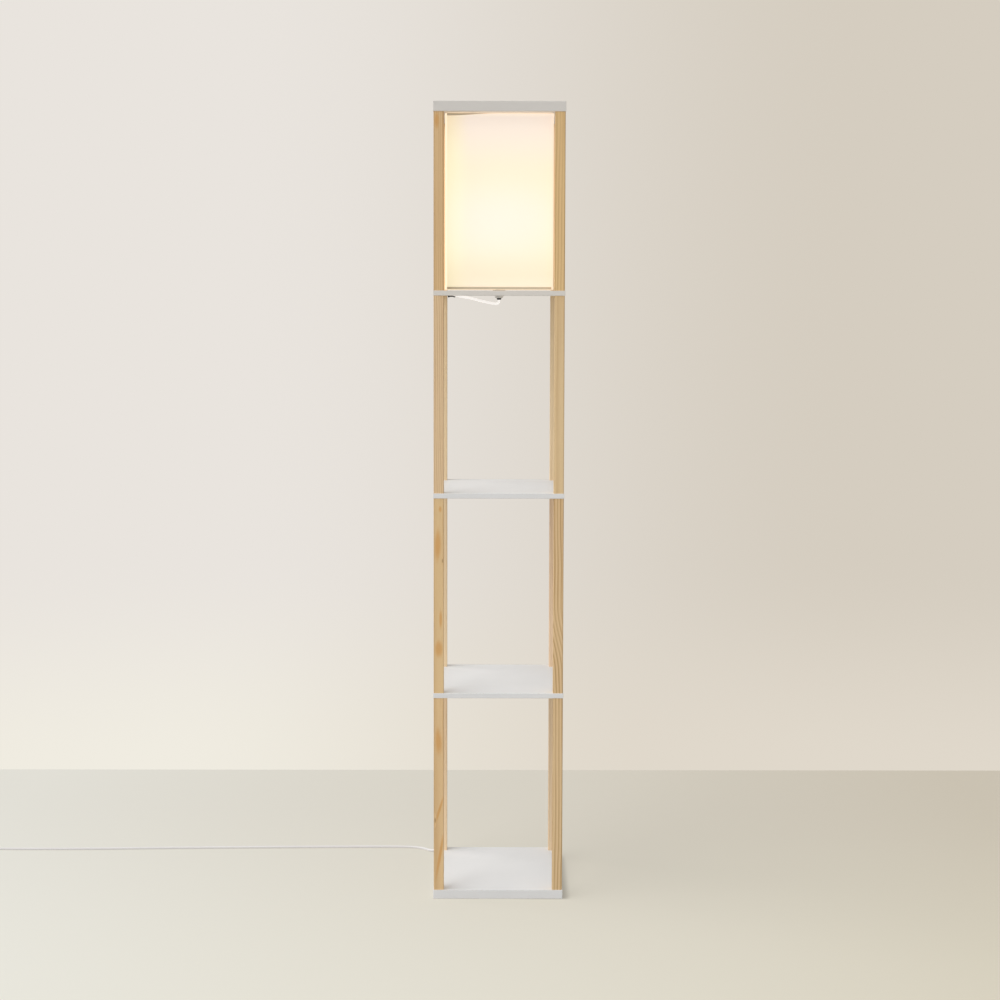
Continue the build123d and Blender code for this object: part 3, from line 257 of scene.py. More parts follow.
class Value:
    """A socket of a finish; an expression written on it adds the nodes that work it out."""

    def __init__(self, finish, socket):
        self.finish = finish
        self.socket = socket

    def of(self, output):
        """Another output of the same node."""
        return Value(self.finish, self.socket.node.outputs[output])

    def maths(self, operation, *values):
        """The result of a Math node whose inputs are these values in order."""
        return self.finish.node("ShaderNodeMath", dict(enumerate(values)), operation=operation)

    def __add__(self, other):
        return self.maths("ADD", self, other)

    __radd__ = __add__

    def __sub__(self, other):
        return self.maths("SUBTRACT", self, other)

    def __rsub__(self, other):
        return self.maths("SUBTRACT", other, self)

    def __mul__(self, other):
        return self.maths("MULTIPLY", self, other)

    __rmul__ = __mul__

    def __truediv__(self, other):
        return self.maths("DIVIDE", self, other)

    def __pow__(self, other):
        return self.maths("POWER", self, other)

    def __abs__(self):
        return self.maths("ABSOLUTE", self)

    def fraction(self):
        """What is left after the whole part."""
        return self.maths("FRACT", self)

    def sine(self):
        """The sine, of radians."""
        return self.maths("SINE", self)

    def most(self, other):
        """The larger of the two."""
        return self.maths("MAXIMUM", self, other)

    def least(self, other):
        """The smaller of the two."""
        return self.maths("MINIMUM", self, other)

    def ease(self, low, high):
        """0 at low and 1 at high, smooth between; low may be the larger."""
        if low > high:
            return 1 - self.ease(high, low)
        values = {"Value": self, "From Min": low, "From Max": high}
        return self.finish.node("ShaderNodeMapRange", values, interpolation_type="SMOOTHSTEP")


class Finish:
    """A node tree for a finish, with one method that makes every node."""

    def __init__(self, name, owner=None):
        self.material = owner or bpy.data.materials.new(name)
        self.material.use_nodes = True
        self.tree = self.material.node_tree
        self.tree.nodes.clear()

    def node(self, kind, values=None, out=0, **settings):
        """Makes a node: settings first, then the value or link of each socket."""
        made = self.tree.nodes.new(kind)
        for name, setting in settings.items():
            setattr(made, name, setting)
        for name, value in (values or {}).items():
            if isinstance(value, Value):
                self.tree.links.new(value.socket, made.inputs[name])
            elif hasattr(value, "__len__") and len(made.inputs[name].default_value) == 4:
                made.inputs[name].default_value = (*value, 1)
            else:
                made.inputs[name].default_value = value
        return Value(self, made.outputs[out]) if made.outputs else None

    def place(self):
        """The point on the surface in the row frame."""
        return self.node("ShaderNodeTexCoord", out="Object")

    def parts(self, vector):
        """The three numbers of a vector."""
        x = self.node("ShaderNodeSeparateXYZ", {"Vector": vector})
        return x, x.of("Y"), x.of("Z")

    def vector(self, x, y, z):
        """A vector from three numbers."""
        return self.node("ShaderNodeCombineXYZ", {"X": x, "Y": y, "Z": z})

    def scaled(self, vector, *scale):
        """A vector, times a scale along each axis."""
        return self.node("ShaderNodeVectorMath", {0: vector, 1: scale}, operation="MULTIPLY")

    def moved(self, vector, *shift):
        """A vector, moved."""
        return self.node("ShaderNodeVectorMath", {0: vector, 1: shift}, operation="ADD")

    def noise(self, vector, scale, detail=2.0, rough=0.5):
        """Soft noise from 0 to 1; scale is in cells a metre."""
        values = {"Vector": vector, "Scale": scale, "Detail": detail, "Roughness": rough}
        return self.node("ShaderNodeTexNoise", values)

    def colour(self, mask, first, second):
        """The first colour where the mask is 0, the second where it is 1."""
        return self.node("ShaderNodeMix", {0: mask, 6: first, 7: second}, out=2, data_type="RGBA")

    def bump(self, height, strength, distance, under=None):
        """A bumped normal, on top of another if one is given."""
        values = {"Height": height, "Strength": strength, "Distance": distance}
        if under is not None:
            values["Normal"] = under
        return self.node("ShaderNodeBump", values)

    def surface(self, values):
        """Ends the finish in one Principled shader, and gives its material."""
        shader = self.node("ShaderNodeBsdfPrincipled", values)
        self.node("ShaderNodeOutputMaterial", {"Surface": shader})
        return self.material


def moulded(name, colour, rough=0.42, grain=2600.0, depth=0.00003):
    """Moulded plastic: a faint spark-eroded grain and slightly uneven gloss."""
    finish = Finish(name)
    place = finish.place()
    fine = finish.noise(place, grain, 3.0)
    broad = finish.noise(place, 55.0, 2.0)
    shade = tuple(0.9 * value for value in colour)
    return finish.surface(
        {
            "Base Color": finish.colour(0.45 * broad.ease(0.35, 0.75), colour, shade),
            "Roughness": rough - 0.06 + 0.12 * fine,
            "Normal": finish.bump(fine, 0.35, depth),
        }
    )


def plated(name, colour, rough=0.3, metallic=1.0, along=(1, 1, 1)):
    """Plated or bare metal with fine drawn scratches along one axis."""
    finish = Finish(name)
    place = finish.place()
    scratches = finish.noise(finish.scaled(place, *along), 3800.0, 3.0, 0.65)
    bloom = finish.noise(place, 160.0, 3.0)
    dull = tuple(0.72 * value for value in colour)
    return finish.surface(
        {
            "Base Color": finish.colour(bloom.ease(0.42, 0.78) * 0.6, colour, dull),
            "Metallic": metallic,
            "Roughness": rough + 0.16 * scratches + 0.1 * bloom,
            "Normal": finish.bump(scratches, 0.25, 0.00004),
        }
    )


def lacquered(name, colours, white, low, high):
    """Sprayed white lacquer on a board: orange peel, cloudy gloss, faint use along the edges."""
    finish = Finish(name)
    place = finish.place()
    x, y, z = finish.parts(place)
    peel = finish.noise(place, 620.0, 2.0)
    cloud = finish.noise(place, 14.0, 3.0)
    nibs = finish.noise(place, 260.0, 4.0, 0.7)
    half, middle, reach = (high.x - low.x) / 2, (low.z + high.z) / 2, (high.z - low.z) / 2
    rim = abs(x).most(abs(y)).ease(half - 0.0022, half - 0.0004)
    arris = rim * abs(z - middle).ease(reach - 0.0022, reach - 0.0004)
    corner = (abs(x) + abs(y)).ease(2 * half - 0.006, 2 * half - 0.001)
    worn_and_arris_shade = (arris + corner * 0.4) * nibs.ease(0.46, 0.7)
    tone = tuple(0.955 * value for value in white)
    ground = finish.colour(cloud.ease(0.3, 0.75) * 0.5, white, tone)
    return finish.surface(
        {
            "Base Color": finish.colour(worn_and_arris_shade * 0.55, ground, colours.lacquer_worn),
            "Roughness": 0.4 + 0.12 * cloud + 0.1 * worn_and_arris_shade,
            "Coat Weight": 0.12,
            "Coat Roughness": 0.22,
            "Normal": finish.bump(peel, 0.3, 0.00005),
        }
    )


@dataclass
class Log:
    """How a post was sawn from its log, and what its front face shows.

    The heart is away from the post's middle, at an angle of turn radians in plan. rings is the
    ring distance against the usual one, tilt and sweep lean and bend the grain, and depth is how
    dark the late wood is. The pair of arris darkenings, outer then inner, is painted shade along
    those arrises. A stain is (x, z, width, height, lean) and a knot (x, z, size), in metres from
    the post's middle.
    """

    tone: tuple = (1.0, 1.0, 1.0)
    turn: float = 0.3
    away: float = 0.045
    rings: float = 1.0
    tilt: tuple = (0.004, 0.0)
    sweep: float = 0.0
    depth: float = 0.8
    worn_and_arris_shade: tuple = (0.3, 0.1)
    stains: tuple = ()
    knots: tuple = ()


def pine(name, settings, centre, low, high, seed, log):
    """Clear-oiled pine sawn from a round log: its year rings cut through the whole post."""
    sizes, colours = settings.sizes, settings.colours
    half = (high.x - low.x) / 2
    pale, line, heart = (
        tuple(a * b for a, b in zip(colour, log.tone))
        for colour in (colours.pine_pale, colours.pine_dark, colours.pine_heart)
    )
    dark = tuple(0.55 * value for value in heart)
    amber = tuple(0.5 * a + 0.5 * b for a, b in zip(pale, heart))
    finish = Finish(name)
    place = finish.moved(finish.place(), -centre.x, -centre.y, -centre.z)
    drift = finish.moved(finish.scaled(place, 9, 9, 2.6), seed * 3.1, seed * 1.7, seed * 0.9)
    x, y, z = finish.parts(place)
    wave = finish.noise(drift, 1.0, 2.0)
    ripple = finish.noise(finish.scaled(drift, 3, 3, 2.2), 1.0, 2.0)
    across = x - log.away * math.cos(log.turn) + z * log.tilt[0] + (wave - 0.5) * 0.014
    if log.sweep:
        across = across - log.sweep * z.ease(-0.02, -0.15)
    deep = y - log.away * math.sin(log.turn) + z * log.tilt[1] + (ripple - 0.5) * 0.004
    distance = (across * across + deep * deep) ** 0.5
    core = 0
    for side, level, size in log.knots:
        far = (((x - side) / size) ** 2 + ((z - level) / (size * 4)) ** 2) ** 0.5
        distance = distance + far.ease(2.6, 0.0) * size * 1.6
        core = far.ease(0.95, 0.25).most(core)
    years = distance / (sizes.rings * log.rings)
    ring = (years + (ripple - 0.5) * 0.5).fraction()
    season = finish.noise(finish.vector(years * 0.7, seed, z * 5), 1.0, 1.0).ease(0.25, 0.7)
    late = ring.ease(0.25, 0.9) * ring.ease(1.0, 0.93) * (0.45 + 0.55 * season)
    fibre = finish.noise(finish.scaled(place, 1, 1, 0.022), 1500.0, 3.0, 0.6)
    flecks = finish.noise(finish.scaled(place, 1, 1, 0.07), 900.0, 1.0)
    board = finish.noise(finish.scaled(drift, 1.3, 1.3, 0.8), 1.0, 3.0)
    streak = finish.noise(finish.scaled(place, 1, 1, 0.03), 130.0, 2.0)
    wood = finish.colour(board.ease(0.3, 0.75) * 0.4, pale, amber)
    wood = finish.colour(late * log.depth, wood, line)
    wood = finish.colour(streak.ease(0.56, 0.76) * 0.4, wood, heart)
    wood = finish.colour(fibre.ease(0.5, 0.78) * 0.25, wood, line)
    wood = finish.colour(flecks.ease(0.7, 0.76) * 0.35, wood, dark)
    ragged = (streak - 0.5) * 1.1 + (wave - 0.5) * 0.8
    for side, level, wide, tall, lean in log.stains:
        rise = z - level
        off = ((x - side - lean * rise) / wide) ** 2 + (rise / tall) ** 2
        off = off + ((y + half) / 0.009) ** 2
        wood = finish.colour((off**0.5 + ragged).ease(1.2, 0.3) * 0.8, wood, colours.pine_resin)
    if log.knots:
        wood = finish.colour(core * 0.75, wood, dark)
    outward = x * math.copysign(1, centre.x)
    # Painted shade: a darker line along the outer and the inner arris of each post.
    for side, worn_and_arris_shade in zip((outward, -1 * outward), log.worn_and_arris_shade):
        arris = side.least(abs(y)).ease(half - 0.0028, half - 0.001)
        wood = finish.colour(arris * worn_and_arris_shade, wood, dark)
    normal = finish.bump(fibre, 0.35, 0.00008)
    return finish.surface(
        {
            "Base Color": wood,
            "Roughness": 0.6 - 0.12 * late + 0.1 * fibre,
            "Normal": finish.bump(late, 0.3, 0.00012, normal),
        }
    )


def linen(name, settings, near):
    """Linen on a clear backing, lit from inside: brightest at near, and less so away from it."""
    sizes, colours = settings.sizes, settings.colours
    finish = Finish(name)
    place = finish.place()
    x, y, z = finish.parts(place)
    round_wall = x + y
    step = math.pi / sizes.thread
    weave = (round_wall * step).sine() * (z * step).sine()
    upright = finish.noise(finish.vector(round_wall * 9, 0, z * 0.35), 130.0, 3.0, 0.6)
    level = finish.noise(finish.vector(round_wall * 0.35, 7, z * 9), 130.0, 3.0, 0.6)
    slub = upright.ease(0.62, 0.8) + level.ease(0.6, 0.8)
    cloud = finish.noise(place, 9.0, 2.0)
    apart = (((x - near.x) ** 2 + y**2) * 0.25 + (z - near.z) ** 2) ** 0.5
    inside = ((abs(x).most(abs(y)))).ease(SHADE_HIGH.x - 0.0011, SHADE_HIGH.x - 0.0009)
    foot = SHADE_LOW.z + sizes.hem
    bottom = z.ease(foot - 0.0002, foot - 0.001) * z.ease(SHADE_LOW.z + 0.0004, SHADE_LOW.z + 0.001)
    slope = SHADE_HIGH.z - 0.0045 * x.ease(-0.005, -0.1)
    hem = (bottom + (z - slope).ease(-0.0006, 0.0006) * x.ease(0.0, -0.03)) * inside
    base = finish.colour(slub * 0.35, colours.linen, tuple(0.86 * value for value in colours.linen))
    front = y.ease(-0.05, -0.095)
    outer = finish.colour(x.ease(-0.055, -0.1) * front, colours.glow_cool, colours.glow_far)
    glow = finish.colour(apart.ease(0.02, 0.14), colours.glow_near, colours.glow_warm)
    glow = finish.colour(apart.ease(0.07, 0.2), glow, outer)
    # Painted light: a brighter glow at the left of the front, where the left posts cast shadow on
    # the cloth.
    painted_light_in_post_shadow = x.ease(-0.05, -0.1) * z.ease(1.57, 1.48) * front
    glow = finish.colour(painted_light_in_post_shadow * 0.45, glow, colours.painted_light_left)
    low = tuple(0.8 * value for value in colours.glow_far)
    glow = finish.colour(z.ease(1.31, 1.24) * 0.4, glow, low)
    glow = finish.colour(0.08 * cloud + 0.14 * slub, glow, low)
    # Painted light: a brighter band under the cap, for light passing between cap and shade.
    top = z.ease(SHADE_HIGH.z - 0.007, SHADE_HIGH.z - 0.003)
    glow = finish.colour(top * 0.3, glow, colours.painted_edge_light)
    # Painted light: brighter strips along the shade's corners, for the lit posts close beside the
    # cloth.
    corner = abs(x).least(abs(y)).ease(0.1026, 0.1042)
    brown = tuple(0.1 * value for value in colours.glow_far)
    glow = finish.colour(hem * (1 - corner) * 0.96, glow, brown)
    glow = finish.colour(corner * (1 - 0.6 * x.ease(0.0, 0.05)), glow, colours.painted_edge_light)
    height = weave * 0.5 + slub
    return finish.surface(
        {
            "Base Color": base,
            "Roughness": 0.86,
            "Emission Color": glow,
            "Emission Strength": 1.0,
            "Normal": finish.bump(height * inside, 0.5, 0.00016),
        }
    )


def glowing(name, colour, strength):
    """Frosted dome of a bulb that is on, a little dimmer at its seam."""
    finish = Finish(name)
    place = finish.place()
    z = finish.parts(place)[2]
    frost = finish.noise(place, 1400.0, 2.0)
    rise = z.ease(BULB_LOW.z - 0.004, BULB_LOW.z + 0.026)
    dim = tuple(0.55 * value for value in colour)
    return finish.surface(
        {
            "Base Color": paint(238, 236, 230),
            "Roughness": 0.5 + 0.2 * frost,
            "Emission Color": finish.colour(rise, dim, colour),
            "Emission Strength": strength,
            "Normal": finish.bump(frost, 0.2, 0.00004),
        }
    )


def dress(material, *names):
    """Gives a finish to the frame's own solids."""
    for name in names:
        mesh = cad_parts[name].data
        mesh.materials.clear()
        mesh.materials.append(material)


def add_piece(name, data, body, material):
    """Puts a made piece in the scene, on the body that carries it."""
    piece = bpy.data.objects.new(name, data)
    bpy.context.scene.collection.objects.link(piece)
    data.materials.append(material)
    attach(piece, body)
    return piece


def smooth_mesh(name, surface, angle):
    """A mesh from a bmesh, smooth but for edges sharper than an angle in degrees."""
    bmesh.ops.recalc_face_normals(surface, faces=surface.faces)
    mesh = bpy.data.meshes.new(name)
    surface.to_mesh(mesh)
    surface.free()
    mesh.polygons.foreach_set("use_smooth", [True] * len(mesh.polygons))
    mesh.set_sharp_from_angle(angle=math.radians(angle))
    return mesh


def ring_mesh(name, rings, angle, closed):
    """A mesh through rings of points; closed joins the last ring to the first."""
    surface = bmesh.new()
    rows = [[surface.verts.new(point) for point in ring] for ring in rings]
    pairs = list(zip(rows, rows[1:]))
    if closed:
        pairs.append((rows[-1], rows[0]))
    else:
        surface.faces.new(rows[0])
        surface.faces.new(rows[-1])
    for row, following in pairs:
        for index in range(len(row)):
            after = (index + 1) % len(row)
            surface.faces.new((row[index], row[after], following[after], following[index]))
    return smooth_mesh(name, surface, angle)


def lead_curve(name, points, diameter):
    """A round lead along one smooth spline with these control points."""
    curve = bpy.data.curves.new(name, "CURVE")
    curve.dimensions = "3D"
    curve.bevel_depth = diameter / 2
    curve.bevel_resolution = 5
    curve.use_fill_caps = True
    spline = curve.splines.new("NURBS")
    spline.points.add(len(points) - 1)
    for control, point in zip(spline.points, points):
        control.co = (*point, 1)
    spline.order_u = 3
    spline.use_endpoint_u = True
    spline.resolution_u = 12
    return curve


def coil_points():
    """Control points of the coil: half turns that wind in on the floor, climb and wind out."""
    at, points = COIL_START.copy(), []
    for turn, radius in enumerate(COIL_RADII):
        side = 1 if turn % 2 == 0 else -1
        middle = at + Vector((side * radius, 0, 0))
        reach = radius / math.cos(math.pi / (2 * COIL_STEPS))
        rise = COIL_RISE if turn == COIL_CLIMB else 0
        for step in range(COIL_STEPS):
            angle = (step + 0.5) * math.pi / COIL_STEPS
            along = -side * reach * math.cos(angle)
            height = rise * (1 - math.cos(angle)) / 2
            points.append(middle + Vector((along, -side * reach * math.sin(angle), height)))
        at += Vector((2 * side * radius, 0, rise))
    return points


def shade_outline(corner, seam):
    """The shade's plan as (x, y, outward x, outward y, bow, lap) points, once round."""
    half = SHADE_HIGH.x - 0.0006
    flat = half - corner
    steps = [step / 14 for step in range(-14, 15)]
    rear = sorted(steps + [0.0, 0.1 * seam / flat, 0.92 * seam / flat, seam / flat])
    points = []
    for quarter in range(4):
        turn = quarter * math.pi / 2
        cos, sin = math.cos(turn), math.sin(turn)
        side = rear if quarter == 2 else steps
        for share in side:
            lap = quarter == 2 and 0 < share < seam / flat
            x, y = share * flat, -half
            points.append((x * cos - y * sin, x * sin + y * cos, sin, -cos, 1 - share**2, lap))
        for step in range(1, 7):
            angle = step / 7 * math.pi / 2
            out_x, out_y = math.sin(angle), -math.cos(angle)
            x, y = flat + corner * out_x, -flat + corner * out_y
            turned = (x * cos - y * sin, x * sin + y * cos)
            outward = (out_x * cos - out_y * sin, out_x * sin + out_y * cos)
            points.append((*turned, *outward, 0, False))
    return points


def shade_profile(sizes):
    """The shade's section as (distance out from the cloth, level, share of the bow) points."""
    low, high, hem, roll = SHADE_LOW.z, SHADE_HIGH.z, sizes.hem, sizes.hem_proud
    foot = [(-0.0001, 0), (0.6 * roll, 0.0001), (roll, 0.0005), (roll, hem - 0.0008)]
    foot += [(0.8 * roll, hem - 0.0003), (0.2 * roll, hem - 0.00002), (0, hem + 0.0002)]
    outer = [(out, low + up, 0) for out, up in foot]
    span = high - low - 2 * hem
    rows = [low + hem + span * row / 16 for row in range(1, 16)]
    outer += [(0, level, math.sin(math.pi * (level - low) / (high - low))) for level in rows]
    outer += [(out, high - up, 0) for out, up in reversed(foot)]
    inner = [(-sizes.cloth, high - 0.0004, 0)]
    wall = outer[len(foot) : -len(foot)]
    inner += [(-sizes.cloth, level, bow) for _, level, bow in reversed(wall)]
    inner.append((-sizes.cloth, low + 0.0004, 0))
    return outer + inner


class SHELF_LAMP_OT_stage(bpy.types.Operator):
    """Floor, backdrop, lights and camera"""

    bl_idname = "shelf_lamp.stage"
    bl_label = "Stage"

    def execute(self, context):
        stage = context.scene.shelf_lamp.stage
        self.add_floor(context, stage)
        self.light_world(context, stage)
        self.add_key(context, stage)
        self.add_panel(context, stage)
        self.add_camera(context, stage)
        context.scene.view_settings.view_transform = "Standard"
        return {"FINISHED"}

    def add_floor(self, context, stage):
        """A plane that ends where the backdrop begins."""
        reach, end = FLOOR_REACH, stage.floor_end
        corners = ((-reach, -reach), (reach, -reach), (reach, end), (-reach, end))
        surface = bmesh.new()
        surface.faces.new([surface.verts.new((x, y, 0)) for x, y in corners])
        mesh = bpy.data.meshes.new("floor")
        surface.to_mesh(mesh)
        surface.free()
        floor = bpy.data.objects.new("floor", mesh)
        context.scene.collection.objects.link(floor)
        mesh.materials.append(self.floor_finish(stage))

    def floor_finish(self, stage):
        """The floor's tones, half shown as they are and half open to light and shadow.

        A painted contact shadow lies along the base's right side, and light that the floor throws
        back is a plain grey.
        """
        finish = Finish("floor")
        x, y = finish.parts(finish.place())[:2]
        span = {"Value": x, "From Min": -FLOOR_FADE, "From Max": FLOOR_FADE}
        across = finish.node("ShaderNodeMapRange", span)
        nearer = y.ease(0.6, -0.7)
        back = finish.colour(across, stage.floor_left, stage.floor_right)
        front = finish.colour(across, stage.near_left, stage.near_right)
        tone = finish.colour(nearer, back, front)
        # Painted contact shadow: a darker band of floor along the base's right side.
        painted_contact_shadow = x.ease(0.0, 0.1) * x.ease(0.15, 0.13)
        painted_contact_shadow = painted_contact_shadow * y.ease(-0.137, -0.125) * y.ease(0.14, 0.1)
        tone = finish.colour(painted_contact_shadow * 0.6, tone, paint(150, 143, 130))
        plain = finish.node("ShaderNodeBsdfDiffuse", {"Color": tone})
        shown = finish.node("ShaderNodeEmission", {"Color": tone, "Strength": 1.05})
        dull = finish.node("ShaderNodeBsdfDiffuse", {"Color": paint(182, 179, 174)})
        half = finish.node("ShaderNodeMixShader", {0: 0.55, 1: plain, 2: shown})
        mixed = finish.node("ShaderNodeMixShader", {0: self.seen(finish), 1: dull, 2: half})
        finish.node("ShaderNodeOutputMaterial", {"Surface": mixed})
        return finish.material

    def seen(self, finish):
        """1 for what the camera sees, also in metal and through glass."""
        camera = finish.node("ShaderNodeLightPath", out="Is Camera Ray")
        return camera.most(camera.of("Is Glossy Ray")).most(camera.of("Is Transmission Ray"))

    def light_world(self, context, stage):
        """An even light all round, and the backdrop's tones where the camera looks."""
        world = context.scene.world or bpy.data.worlds.new("world")
        context.scene.world = world
        finish = Finish("world", world)
        x, _, z = finish.parts(finish.node("ShaderNodeTexCoord", out="Generated"))
        upper = finish.colour(x.ease(-0.16, 0.22), stage.wall_left, stage.wall_right)
        foot = finish.colour(x.ease(-0.2, 0.1), stage.foot_left, stage.foot_right)
        backdrop = finish.colour(z.ease(-0.15, -0.275), upper, foot)
        warm = tuple(stage.fill * value for value in (1.02, 1.0, 0.96))
        cool = tuple(stage.fill * value for value in (0.97, 1.0, 1.05))
        around = finish.colour(z.ease(-0.3, 0.7), warm, cool)
        shown = finish.colour(self.seen(finish), around, backdrop)
        light = finish.node("ShaderNodeBackground", {"Color": shown})
        finish.node("ShaderNodeOutputWorld", {"Surface": light})

    def add_key(self, context, stage):
        """A soft distant lamp from the left."""
        light = bpy.data.lights.new("key", "SUN")
        light.energy = stage.key
        light.angle = stage.key_size
        self.place_lamp(context, light, (0, 0, 0), KEY_WAY)

    def add_panel(self, context, stage):
        """A low panel in front, which lights the undersides and the foot most."""
        light = bpy.data.lights.new("front", "AREA")
        light.energy = stage.front
        light.size = PANEL_SIZE
        panel = self.place_lamp(context, light, PANEL_PLACE, PANEL_WAY)
        panel.visible_camera = False
        panel.visible_glossy = False

    def place_lamp(self, context, light, place, way):
        """Puts a lamp in the scene; way points from what it lights towards it."""
        lamp = bpy.data.objects.new(light.name, light)
        context.scene.collection.objects.link(lamp)
        lamp.location = place
        lamp.rotation_mode = "QUATERNION"
        lamp.rotation_quaternion = Vector(way).to_track_quat("Z", "Y")
        return lamp

    def add_camera(self, context, stage):
        """A camera where the photograph was taken from."""
        lens = bpy.data.cameras.new("camera")
        lens.lens = stage.lens
        lens.sensor_width = 36
        lens.shift_x, lens.shift_y = CAMERA_SHIFT
        lens.clip_end = 60
        camera = bpy.data.objects.new("camera", lens)
        context.scene.collection.objects.link(camera)
        camera.location = CAMERA_PLACE
        camera.rotation_euler = [math.radians(turn) for turn in CAMERA_TURN]
        context.scene.camera = camera


class SHELF_LAMP_OT_leads(bpy.types.Operator):
    """Held lead, free lead on the floor, and the coil that ends in the plug"""

    bl_idname = "shelf_lamp.leads"
    bl_label = "Leads"

    def execute(self, context):
        lamp = context.scene.shelf_lamp
        wide = lamp.sizes.lead
        flex = self.flex(lamp.colours.lead)

        line = lead_curve("held", HELD_LEAD, wide)
        held = add_piece("lead_on_lamp", line, "lamp", flex)
        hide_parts("held_lead")

        line = lead_curve("floor", FLOOR_LEAD, wide)
        floor = add_piece("lead_on_floor", line, "lamp", flex)
        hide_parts("floor_lead")

        line = lead_curve("coil", [*TAIL_LEAD, *coil_points(), COIL_END], wide)
        coil = add_piece("lead_coil_and_tail", line, "lamp", flex)
        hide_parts("lead_tail", "lead_coil")
        return {"FINISHED"}

    def flex(self, colour):
        """White flex, with painted light on it for the light thrown back, most of it under the
        upper shelf.
        """
        finish = Finish("white_flex")
        place = finish.place()
        fine = finish.noise(place, 1800.0, 3.0)
        z = finish.parts(place)[2]
        faint = tuple(0.36 * value for value in colour)
        return finish.surface(
            {
                "Base Color": colour,
                "Roughness": 0.32 + 0.12 * fine,
                # Painted light: an emitted glow, strongest under the upper shelf.
                "Emission Color": finish.colour(z.ease(0.95, 1.19), faint, colour),
                "Emission Strength": 1.2,
                "Normal": finish.bump(fine, 0.35, 0.00002),
            }
        )


class SHELF_LAMP_OT_boards(bpy.types.Operator):
    """White lacquered base, shelves and cap"""

    bl_idname = "shelf_lamp.boards"
    bl_label = "Boards"

    def execute(self, context):
        colours = context.scene.shelf_lamp.colours
        # The cap's greyer white is painted shade, and the upper shelf's warmer white is painted
        # lamp glow.
        whites = {
            "base_board": colours.lacquer,
            "lower_shelf": colours.lacquer,
            "middle_shelf": colours.lacquer,
            "upper_shelf": colours.lacquer_shelf_painted_glow,
            "top_cap": colours.lacquer_cap_painted_shade,
        }
        for name, white in whites.items():
            dress(lacquered(f"lacquer_{name}", colours, white, *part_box(name)), name)
        return {"FINISHED"}


class SHELF_LAMP_OT_posts(bpy.types.Operator):
    """Sixteen pine posts, each with its own grain"""

    bl_idname = "shelf_lamp.posts"
    bl_label = "Posts"

    logs = {
        "lamp_bay_post_front_left": Log(
            tone=(0.96, 0.94, 0.89),
            turn=0.35,
            rings=0.62,
            depth=0.55,
            worn_and_arris_shade=(0.4, 0.4),
            stains=((-0.004, 0.157, 0.006, 0.018, 0.0),),
        ),
        "upper_bay_post_front_left": Log(
            tone=(1.01, 1.06, 1.16), turn=0.15, away=0.03, rings=0.72, tilt=(0.012, 0.0), depth=0.6
        ),
        "middle_bay_post_front_left": Log(
            tone=(0.99, 1.01, 0.965),
            turn=1.45,
            away=0.05,
            rings=1.6,
            depth=0.4,
            stains=(
                (-0.001, 0.103, 0.008, 0.033, 0.02),
                (-0.0005, -0.106, 0.009, 0.019, 0.0),
                (0.003, 0.174, 0.0035, 0.008, 0.0),
                (0.004, -0.046, 0.003, 0.02, 0.0),
            ),
            knots=((0.0078, 0.071, 0.0016),),
        ),
        "bottom_bay_post_front_left": Log(
            tone=(0.97, 0.963, 0.915),
            turn=1.2,
            away=0.05,
            rings=1.4,
            depth=0.4,
            stains=(
                (0.0, 0.108, 0.008, 0.031, -0.06),
                (0.0015, -0.032, 0.0028, 0.034, 0.3),
                (0.002, -0.128, 0.0028, 0.045, 0.16),
            ),
            knots=((-0.0072, -0.053, 0.002),),
        ),
        "lamp_bay_post_front_right": Log(
            tone=(0.97, 0.95, 0.82),
            turn=0.2,
            rings=1.15,
            tilt=(0.002, 0.0),
            depth=0.6,
            worn_and_arris_shade=(0.4, 0.4),
        ),
        "upper_bay_post_front_right": Log(
            tone=(0.934, 0.966, 0.961), turn=1.1, away=0.06, rings=1.1, depth=0.4
        ),
        "middle_bay_post_front_right": Log(
            tone=(0.91, 0.92, 0.9), turn=0.25, rings=1.1, tilt=(0.01, 0.0), sweep=0.018, depth=0.95
        ),
        "bottom_bay_post_front_right": Log(
            tone=(0.93, 0.965, 0.98), turn=-0.1, rings=1.25, tilt=(0.0, 0.0), depth=0.95
        ),
    }

    def execute(self, context):
        lamp = context.scene.shelf_lamp
        seed = lamp.seed
        for tier in TIERS:
            for corner in CORNERS:
                name = f"{tier}_post_{corner}"
                low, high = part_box(name)
                seed += 1
                log = self.logs.get(name) or self.sawn(random.Random(seed))
                dress(pine(f"pine_{name}", lamp, (low + high) / 2, low, high, seed, log), name)
        return {"FINISHED"}

    def sawn(self, chance):
        """A post from anywhere in its log; the rear posts, which are not listed, get a raised tone
        that is painted light.
        """
        # Tones well above 1: painted light that brightens the rear posts.
        tones = ((1.06, 1.09), (1.13, 1.19), (1.26, 1.4))
        return Log(
            tone=tuple(chance.uniform(*span) for span in tones),
            turn=chance.uniform(0, 2 * math.pi),
            away=chance.uniform(0.03, 0.06),
            rings=chance.uniform(0.7, 1.3),
            tilt=(chance.uniform(-0.02, 0.02), chance.uniform(-0.02, 0.02)),
            depth=chance.uniform(0.15, 0.35),
        )


